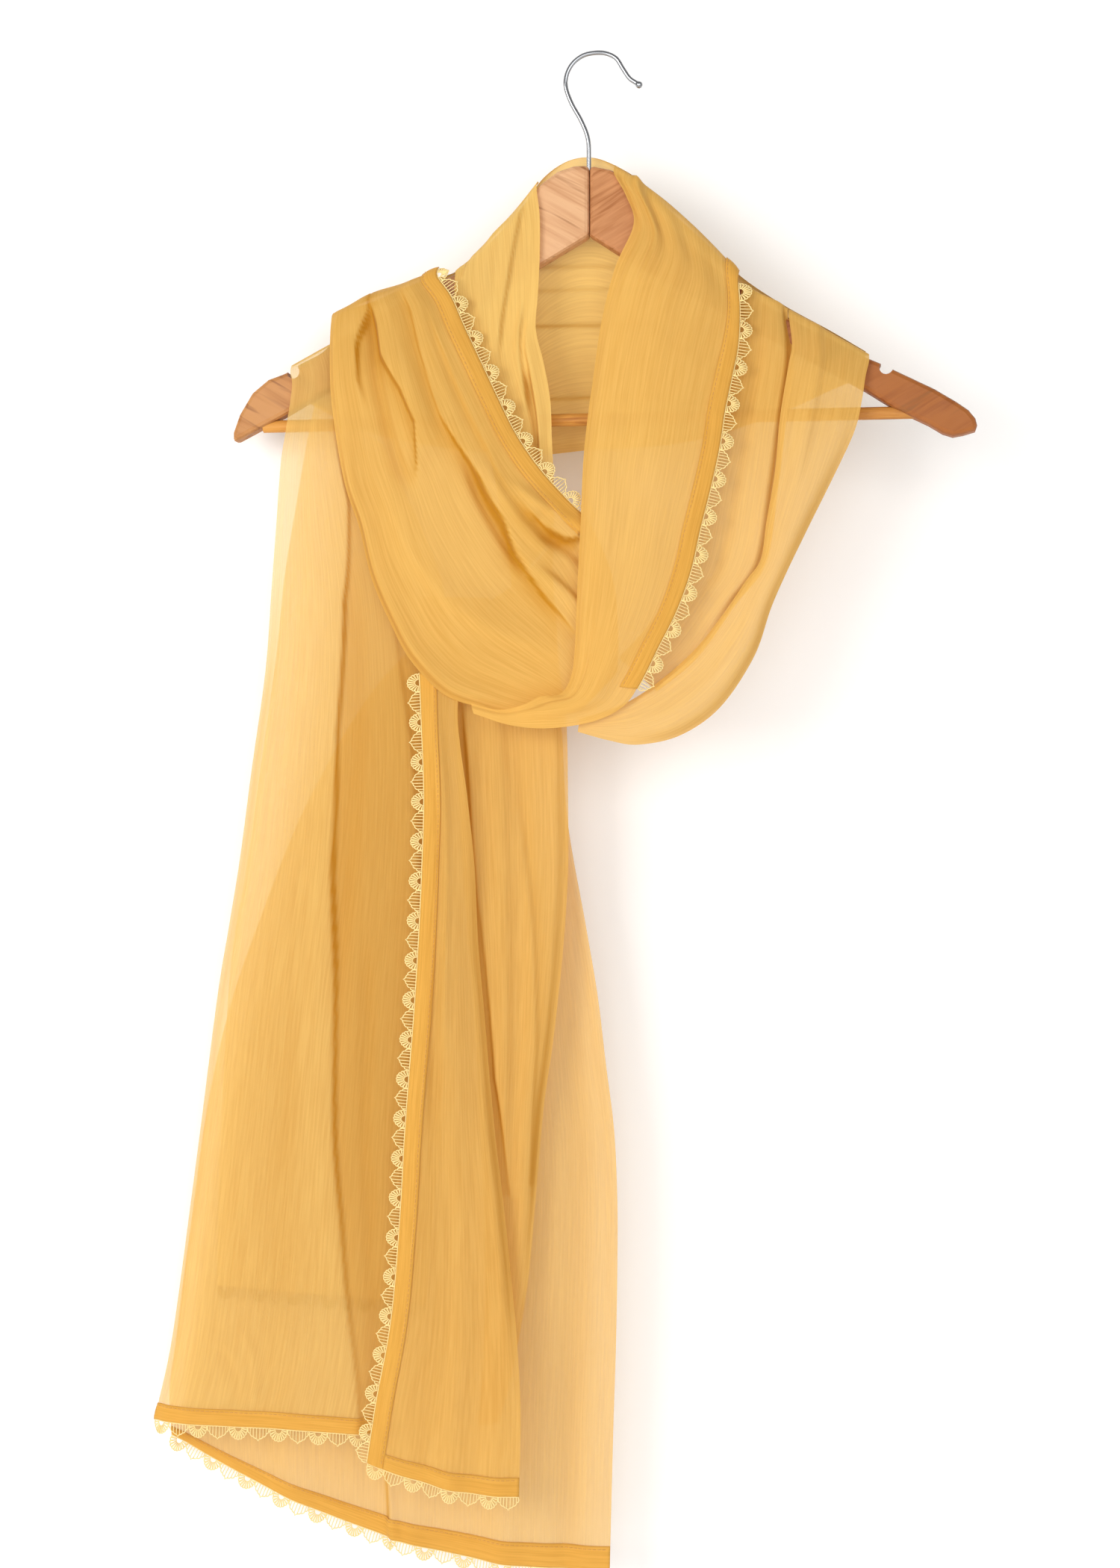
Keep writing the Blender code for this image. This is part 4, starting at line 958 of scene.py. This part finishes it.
# %% Front left tail
# This tail uses the lighter copy of the yarn, which is painted light.
stretch("tail_front_left", "lightened", bottom_hem=True, rows=[
    (-189, 0, -182, -152, 0, -163), (-189, -6, -183, -152, -6, -164),
    (-189, -9, -188, -152, -8.5, -169), (-188, -9, -197, -148, -8.5, -185),
    (-192, -9, -224, -147, -8.5, -216), (-195, -9, -244, -140, -9, -244, 1),
    (-198, -10, -288, -126, -10, -280, 2), (-201, -11, -324, -112, -11, -321, 3),
    (-205, -12, -369, -104, -12, -369, 3), (-213, -13, -425, -98, -13, -425, 4),
    (-221, -13, -484, -98, -13, -484, 4), (-228, -13, -526, -100, -13, -526, 4),
    (-235, -13, -567, -103, -13, -567, 4), (-246, -13, -650, -109, -13, -650, 4),
    (-253, -13, -702, -112, -12, -704, 4), (-260, -13, -754, -116, -11, -756, 3),
    (-266, -13, -791, -121, -10, -796, 3), (-275, -13, -829, -128, -10, -833, 3),
], folds=[
    (0.5, 0.22, 0.03, 0.6, 7, 2), (0.1, 0.09, 0.2, 0.8, 6, 1.2),
    (0.12, 0.17, 0.45, 1, 12, 2), (0.6, 0.57, 0.34, 0.78, 8, -2),
    (0.66, 0.95, 0.62, 1, 6, -2), (0.36, 0.42, 0.48, 0.86, 7, -1.2),
    (0.38, 0.5, 0.68, 1, 16, -2), (0.52, 0.34, 0.9, 0.99, 5, 1.5, 0.05),
    (0.2, 0.34, 0.92, 0.99, 4, -1.5, 0.04), (0.3, 0.42, 0.9, 0.985, 3, 1.5, 0.03),
    (0, 0, 0.35, 1, 6, -4),
], pleats=[
    # Its great reach paints the cloth past the pleat darker, as painted shade.
    Pleat(900, [
        (0.2, 0.64, 0, 0.1), (0.33, 0.67, 3, 0.35), (0.42, 0.51, 4, 0.45),
        (0.51, 0.465, 4, 0.5), (0.6, 0.49, 5, 0.5), (0.71, 0.57, 5, 0.5),
        (0.77, 0.63, 5, 0.5), (0.86, 0.72, 4, 0.45), (1, 0.88, 2, 0.4),
    ]),
    Pleat(12, [
        (0.4, 0.8, 0, 0), (0.48, 0.84, 2, 0.15), (0.62, 0.93, 2, 0.15),
    ]),
])
trim_bottom("tail_front_left")

# %% [markdown]
# A shorter layer shows through the front left tail, with its lace. It is a real second sheet
# and not a painted shade, so its edge moves against the front one when the view turns.

# %% Hidden tail
# This layer uses the lighter copy of the yarn, which is painted light.
stretch("tail_hidden", "lightened", bottom_hem=True, rows=[
    (-174, -7.5, -206, -132, -6.8, -232), (-180, -7.6, -236, -120, -7, -258),
    (-186, -7.4, -270, -104, -7.8, -292), (-193, -6.5, -310, -94, -8.4, -322),
    (-199, -4.5, -360, -91, -6.8, -365), (-209, -2, -425, -92, -4.5, -427),
    (-219, 0, -490, -92, -3, -489), (-229, 0, -550, -94, -3, -549),
    (-235, 0, -646, -96, -3, -643), (-237, 0, -711, -102, -3, -706),
    (-238, 0, -748, -106, -3, -755),
], folds=[
    (0.45, 0.72, 0.25, 0.95, 8, 2), (0.78, 0.92, 0.25, 0.8, 5, 2, 0, 0.5),
    (0.64, 0.82, 0.25, 0.9, 5, -1.2),
])
trim_bottom("tail_hidden", hem=False, thread=SHADED_THREAD)

# %% [markdown]
# The long side of this tail shows as an upright band of hem and lace. The bottom hem starts
# where the side's hem ends, so the corner isn't covered twice.

# %% Front right tail
stretch("tail_front_right", 1.5, left_hem=True, bottom_hem=True, rows=[
    (-108, -16, -326, -64, -15.2, -327), (-107, -18.5, -362, -77, -17.5, -363),
    (-105, -21, -394, -83, -21.5, -396), (-103, -22, -445, -77, -21, -448),
    (-104, -22, -484, -73, -21, -488), (-106, -22, -528, -71, -21, -532),
    (-109, -22, -576, -67, -20, -577, 1), (-112, -22, -613, -64, -20, -613, 1),
    (-115, -22, -654, -60, -20, -652, 2), (-117, -22, -690, -55, -20, -693, 2),
    (-121, -22, -742, -50, -20, -742, 2), (-125, -22, -773, -47, -20, -775, 2),
    (-132, -22, -809, -45, -20, -815, 2, 2), (-138, -22, -847, -46, -20, -864, 2, 4),
], folds=[
    (0.47, 0.44, 0.1, 0.56, 5, 2.6, 0, 0.4), (0.31, 0.28, 0.14, 0.66, 4, -2.2, 0, -0.3),
    (0.62, 0.55, 0.25, 1, 8, 3), (0.37, 0.36, 0.45, 1, 8, -1.6),
    (0.5, 0.44, 0.64, 0.92, 6, -1.6, 0, -0.5), (0.85, 0.84, 0.5, 1, 8, 2),
    (0.93, 0.93, 0.16, 0.95, 3, 1.6), (1, 1, 0.2, 0.92, 4, -3.5),
])
trim_bottom("tail_front_right", HEM_COLUMNS)
trim_side("tail_front_right", "tail_side", LEFT, 0.1, 1.0)

# %% [markdown]
# Narrow folds hang between that tail and the back one. The two crispest are pleats, one turned
# under to the left and one to the right, and the others are plain folds.

# %% Right tail
stretch("tail_right", 1.5, rows=[
    (-66, -14, -335, -27.5, -12.8, -305), (-82, -13.3, -352, -25, -12, -335),
    (-88, -12, -372, -23, -13, -368), (-87, -11, -398, -19, -12, -401),
    (-84, -11, -447, -18, -12, -447), (-82, -11, -490, -18, -12, -490),
    (-78, -11, -538, -21, -12, -538), (-74, -10, -593, -27, -11, -592),
    (-72, -9, -634, -33, -9, -633), (-70, -7, -687, -38, -7, -686),
    (-69, -7, -741, -43, -7, -740), (-70, -7, -790, -51, -7, -788),
    (-73, -8, -826, -60, -8, -824),
], folds=[
    (0.07, 0.06, 0.1, 0.7, 2.4, -3, 0, 0.3), (0.22, 0.26, 0.12, 0.8, 6, -1.6),
    (0.4, 0.42, 0.05, 0.85, 6, 2.4, 0, 0.5), (0.57, 0.58, 0.2, 0.8, 5, -1.2),
    (0.72, 0.74, 0.1, 0.9, 7, 1.8), (0.9, 0.9, 0.05, 0.92, 4, 1.6, 0, 0.6),
    (1, 1, 0.05, 0.95, 4, -3),
], pleats=[
    Pleat(-12, [
        (0.2, 0.07, 0, 0.2), (0.28, 0.11, 3, 0.5), (0.45, 0.15, 3, 0.5),
        (0.63, 0.27, 3, 0.5), (0.75, 0.55, 2, 0.3),
    ]),
    Pleat(8, [
        (0.3, 0.5, 0, 0), (0.39, 0.58, 2.5, 0.25), (0.58, 0.78, 2.5, 0.25),
        (0.74, 0.86, 1, 0.1),
    ]),
])

# %% [markdown]
# The longest tail hangs behind the others, with a slanting hem. Its last rows have a growing
# dip, which rounds the hem as the cloth's weight does.

# %% Back tail
stretch("tail_back", 1.5, bottom_hem=True, rows=[
    (-54, -9.2, -324.4, -26.5, -11.6, -294.2), (-92, -5, -341, -27, -9.8, -322),
    (-126, 1.5, -366, -26, -3, -360), (-155, 6, -402, -23, 3, -407),
    (-189, 11, -462, -20, 8, -462), (-215, 12, -527, -9, 9, -525),
    (-230, 12, -570, -2, 10, -567), (-241, 12, -612, 3, 10, -608),
    (-249, 12, -654, 8, 10, -648), (-256, 12, -705, 10, 10, -690),
    (-262, 12, -747, 10, 10, -731), (-267, 12, -787, 9, 10, -778, 0, 2),
    (-271, 12, -816, 7, 10, -837, 0, 10), (-269, 10, -843, 5, 10, -916, 0, 21),
], folds=[
    (0.3, 0.28, 0.1, 1, 14, 3), (0.42, 0.42, 0.15, 0.98, 9, -1.4),
    (0.55, 0.55, 0.15, 1, 14, 4), (0.66, 0.66, 0.2, 0.97, 7, -1.4),
    (0.8, 0.76, 0.15, 1, 12, 4), (0.84, 0.81, 0.3, 0.9, 5, -1.4, 0, -0.4),
    (0.92, 0.9, 0.2, 1, 10, -3), (0, 0, 0.3, 1, 6, 3),
    (1, 1, 0.1, 0.95, 6, 3), (0.49, 0.51, 0.9, 1, 3, 4, 0, -0.6),
])
trim_bottom("tail_back")

# %% [markdown]
# Behind the hanger the cloth hangs in a cowl from the wood's top edge. The photograph doesn't
# show it, so its folds are few and wide. It runs across the hanger, so it is described by
# stations from left to right: where its top edge lies, and where its bottom edge hangs. From
# the top edge each station first goes round the wood and then straight down.

# %% Back cowl
BACK_COWL = [
    (-187, 0.9, -182, -183, 10, -203), (-168, 0.9, -171, -165, 12, -213),
    (-161, 0.9, -151, -156, 13, -218), (-140, 0.9, -144, -138, 14, -224),
    (-112, 0.9, -133, -110, 15, -230), (-88, 0.9, -127, -87, 16, -234),
    (-67, 0.9, -110, -63, 17, -236), (-47, 2.5, -88, -43, 18, -238),
    (-35, 5, -71, -31, 19, -237), (-21, 7, -61, -20, 19, -236),
    (-7, 7, -59, -8, 19, -235), (7, 5, -64, 5, 19, -235),
    (25, 2, -76, 24, 18, -234), (42, 0.9, -94, 42, 17, -233),
    (63, 0.9, -113.5, 65, 16, -229), (86, 0.9, -136, 92, 15, -221),
    (112, 0.9, -154, 117, 13, -212), (138, 0.9, -169, 140, 12, -202),
    (159, 0.9, -182, 160, 10, -195),
]
COWL_BEHIND_Y = 8.8
COWL_BEHIND_DROP = 6.0
COWL_WRAP = 0.25
COWL_FOLDS = [
    (0.49, 0.5, 0.3, 0.75, 5, 3.5, 0, 0.6), (0.56, 0.555, 0.2, 0.8, 5, 3, 0, 0.7),
    (0.65, 0.655, 0.15, 0.9, 8, 4.5, 0, 0.8), (0.76, 0.77, 0.2, 0.8, 8, 2, 0, 0.5),
    (0.85, 0.84, 0.1, 0.92, 9, 4.5, 0, 0.8), (1, 1, 0.1, 0.92, 5, -4),
]
# Between the neck's two sides the folds lie level, between two heights.
LEVEL_FROM, LEVEL_TO, LEVEL_EASE = -50, 30, 15
LEVEL_TOP, LEVEL_BOTTOM = -66, -236
COWL_BREADTH, COWL_ROWS_ROUND, COWL_ROWS_DOWN = 380, 12, 100


def cowl_grid():
    """The cowl's points: round the wood's top edge to its back, and down."""
    along = np.linspace(0, 1, round(COWL_BREADTH / ALONG_STEP))
    across = np.concatenate([
        np.linspace(0, COWL_WRAP, COWL_ROWS_ROUND)[:-1],
        np.linspace(COWL_WRAP, 1, COWL_ROWS_DOWN),
    ])
    station = curve_through(BACK_COWL, along)
    top, bottom = station[:, None, 0:3], station[:, None, 3:6]
    behind = top + [0, 0, -COWL_BEHIND_DROP]
    behind[..., 1] = COWL_BEHIND_Y
    turn = np.pi / 2 * np.clip(across / COWL_WRAP, 0, 1)[None, :, None]
    points = top + (behind - top) * np.concatenate([
        0 * turn, np.sin(turn), 1 - np.cos(turn)], axis=-1)
    hang = np.clip((across - COWL_WRAP) / (1 - COWL_WRAP), 0, 1)[None, :, None]
    points = points + (bottom - behind) * hang
    level = (LEVEL_TOP - points[..., 2]) / (LEVEL_TOP - LEVEL_BOTTOM)
    level = COWL_WRAP + (1 - COWL_WRAP) * level
    x = points[:, :1, 0]
    at_neck = smooth_step((x - LEVEL_FROM + LEVEL_EASE) / LEVEL_EASE)
    at_neck = at_neck * smooth_step((LEVEL_TO + LEVEL_EASE - x) / LEVEL_EASE)
    place = across + (level - across) * at_neck
    return folded(points, COWL_FOLDS, place, along)



# The cowl uses the lighter copy of the yarn, painted light for cloth that lies in shade.
lay_cloth("back_cowl", cowl_grid(), "lightened_collar")

# %% [markdown]
# The hanger is two halves of varnished hardwood with a round bar between them. The frame's own
# solids have the right shape, so they stay and get a wood finish. The grain is a noise that is
# stretched along each half, so each half has its own turn of the pattern, and the varnish is a
# thin clear coat.

# %% Wood
Wood = namedtuple("Wood", "tilt light dark stain end_light end_dark reach")
DISTORTION = 0.6


def wood_material(name, look):
    """Varnished wood: fine grain, wider flames and dark streaks, darker and warmer towards its end.
    """
    material, tree, shader = new_material(name)
    place = add_node(tree, "TexCoord", {}).outputs["Object"]
    turned = add_node(tree, "Mapping", {"Vector": place, "Rotation": (0, look.tilt, 0)})

    def figure(along, across, detail):
        return noise(tree, turned, (along, across, across), detail, distortion=DISTORTION)

    grain = spread(tree, figure(28, 420, 3.0), 0.35, 0.65)
    flame = spread(tree, figure(9, 60, 2.0), 0.4, 0.62)
    streak = spread(tree, figure(16, 160, 2.0), 0.62, 0.72)
    x = add_node(tree, "SeparateXYZ", {"Vector": place}).outputs["X"]
    patches = {0: figure(30, 90, 3.0), 1: 1.2, 2: -1.0}
    patchy = add_node(tree, "Math", patches, operation="MULTIPLY_ADD")
    outward = {0: x, 1: 1 / look.reach, 2: patchy}
    towards_end = add_node(tree, "Math", outward, operation="MULTIPLY_ADD", use_clamp=True)
    light = blend(tree, towards_end, look.light, look.end_light)
    dark = blend(tree, towards_end, look.dark, look.end_dark)
    body = blend(tree, grain, light, dark)
    body = blend(tree, flame, body, light)
    body = blend(tree, streak, body, look.stain)
    set_inputs(tree, shader, {
        "Base Color": body, "Coat Weight": 0.12, "Coat Roughness": 0.25,
        "Specular IOR Level": 0.25, "Roughness": spread(tree, figure(60, 200, 2.0), -1.6, 1.9),
        "Normal": add_node(tree, "Bump", {"Strength": 0.12, "Distance": 0.0003, "Height": grain}),
    })
    return material


WOODS = {
    "hanger_left_arm": Wood(
        -0.52, (0.66, 0.38, 0.20), (0.52, 0.26, 0.12), (0.30, 0.12, 0.04),
        (0.50, 0.23, 0.075), (0.34, 0.13, 0.035), -0.12,
    ),
    "hanger_right_arm": Wood(
        0.54, (0.52, 0.23, 0.09), (0.34, 0.12, 0.035), (0.26, 0.09, 0.02),
        (0.34, 0.11, 0.022), (0.24, 0.065, 0.012), 0.12,
    ),
    "hanger_bar": Wood(
        0.0, (0.64, 0.30, 0.06), (0.50, 0.21, 0.035), (0.34, 0.12, 0.02),
        (0.50, 0.22, 0.05), (0.38, 0.14, 0.03), 0.2,
    ),
}
for node, look in WOODS.items():
    NODES[node].material_slots[0].material = wood_material(node + "_wood", look)

# %% [markdown]
# The hook is one bent wire of chromed steel that ends in a small ball. A curve through its bends
# with a round bevel gives the wire, and the last points are given a larger radius for the ball.

# %% Hook
WIRE_RADIUS = 1.4
HOOK_PATH = [
    (-6.5, -78), (-6.5, -64), (-7, -50), (-11, -39), (-17, -28), (-20.5, -18), (-20, -10.5),
    (-16.5, -4), (-10.5, 0.5), (-3.5, 2), (3.5, 1.5), (10, -1.8), (14, -8), (18, -14), (22, -17),
]
BALL = [(0.9, 1.2), (1.9, 1.55), (2.9, 1.55), (3.8, 1.2), (4.3, 0.6)]


def chrome_material():
    """Polished wire, with a little wear that dulls it unevenly."""
    material, tree, shader = new_material("chrome")
    place = add_node(tree, "TexCoord", {}).outputs["Object"]
    wear = add_node(tree, "TexNoise", {"Vector": place, "Scale": 220.0, "Detail": 4.0})
    set_inputs(tree, shader, {
        "Base Color": (0.40, 0.41, 0.43, 1), "Metallic": 1.0,
        "Roughness": add_node(tree, "MapRange", {"Value": wear, "To Min": 0.08, "To Max": 0.3}),
    })
    return material


def bend_hook():
    xz = curve_through(HOOK_PATH, np.linspace(0, 1, 90))
    onward = unit(xz[-1] - xz[-2])
    tip = [(*(xz[-1] + onward * far), size) for far, size in BALL]
    places = [(x, z, 1.0) for x, z in xz] + tip
    curve = bpy.data.curves.new("hanger_hook_wire", "CURVE")
    curve.dimensions = "3D"
    curve.bevel_depth = WIRE_RADIUS * MM
    curve.bevel_resolution = 6
    curve.use_fill_caps = True
    line = curve.splines.new("POLY")
    line.points.add(len(places) - 1)
    for point, (x, z, size) in zip(line.points, places):
        point.co = (x * MM, 0, z * MM, 1)
        point.radius = size
    wire = bpy.data.objects.new("hanger_hook_wire", curve)
    bpy.context.scene.collection.objects.link(wire)
    wire.select_set(True)
    bpy.context.view_layer.objects.active = wire
    bpy.ops.object.convert(target="MESH")
    wire = bpy.context.object
    wire.data.shade_smooth()
    wire.data.materials.append(chrome_material())
    wire.select_set(False)
    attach(wire, "root")
    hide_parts("hanger_hook")


bend_hook()
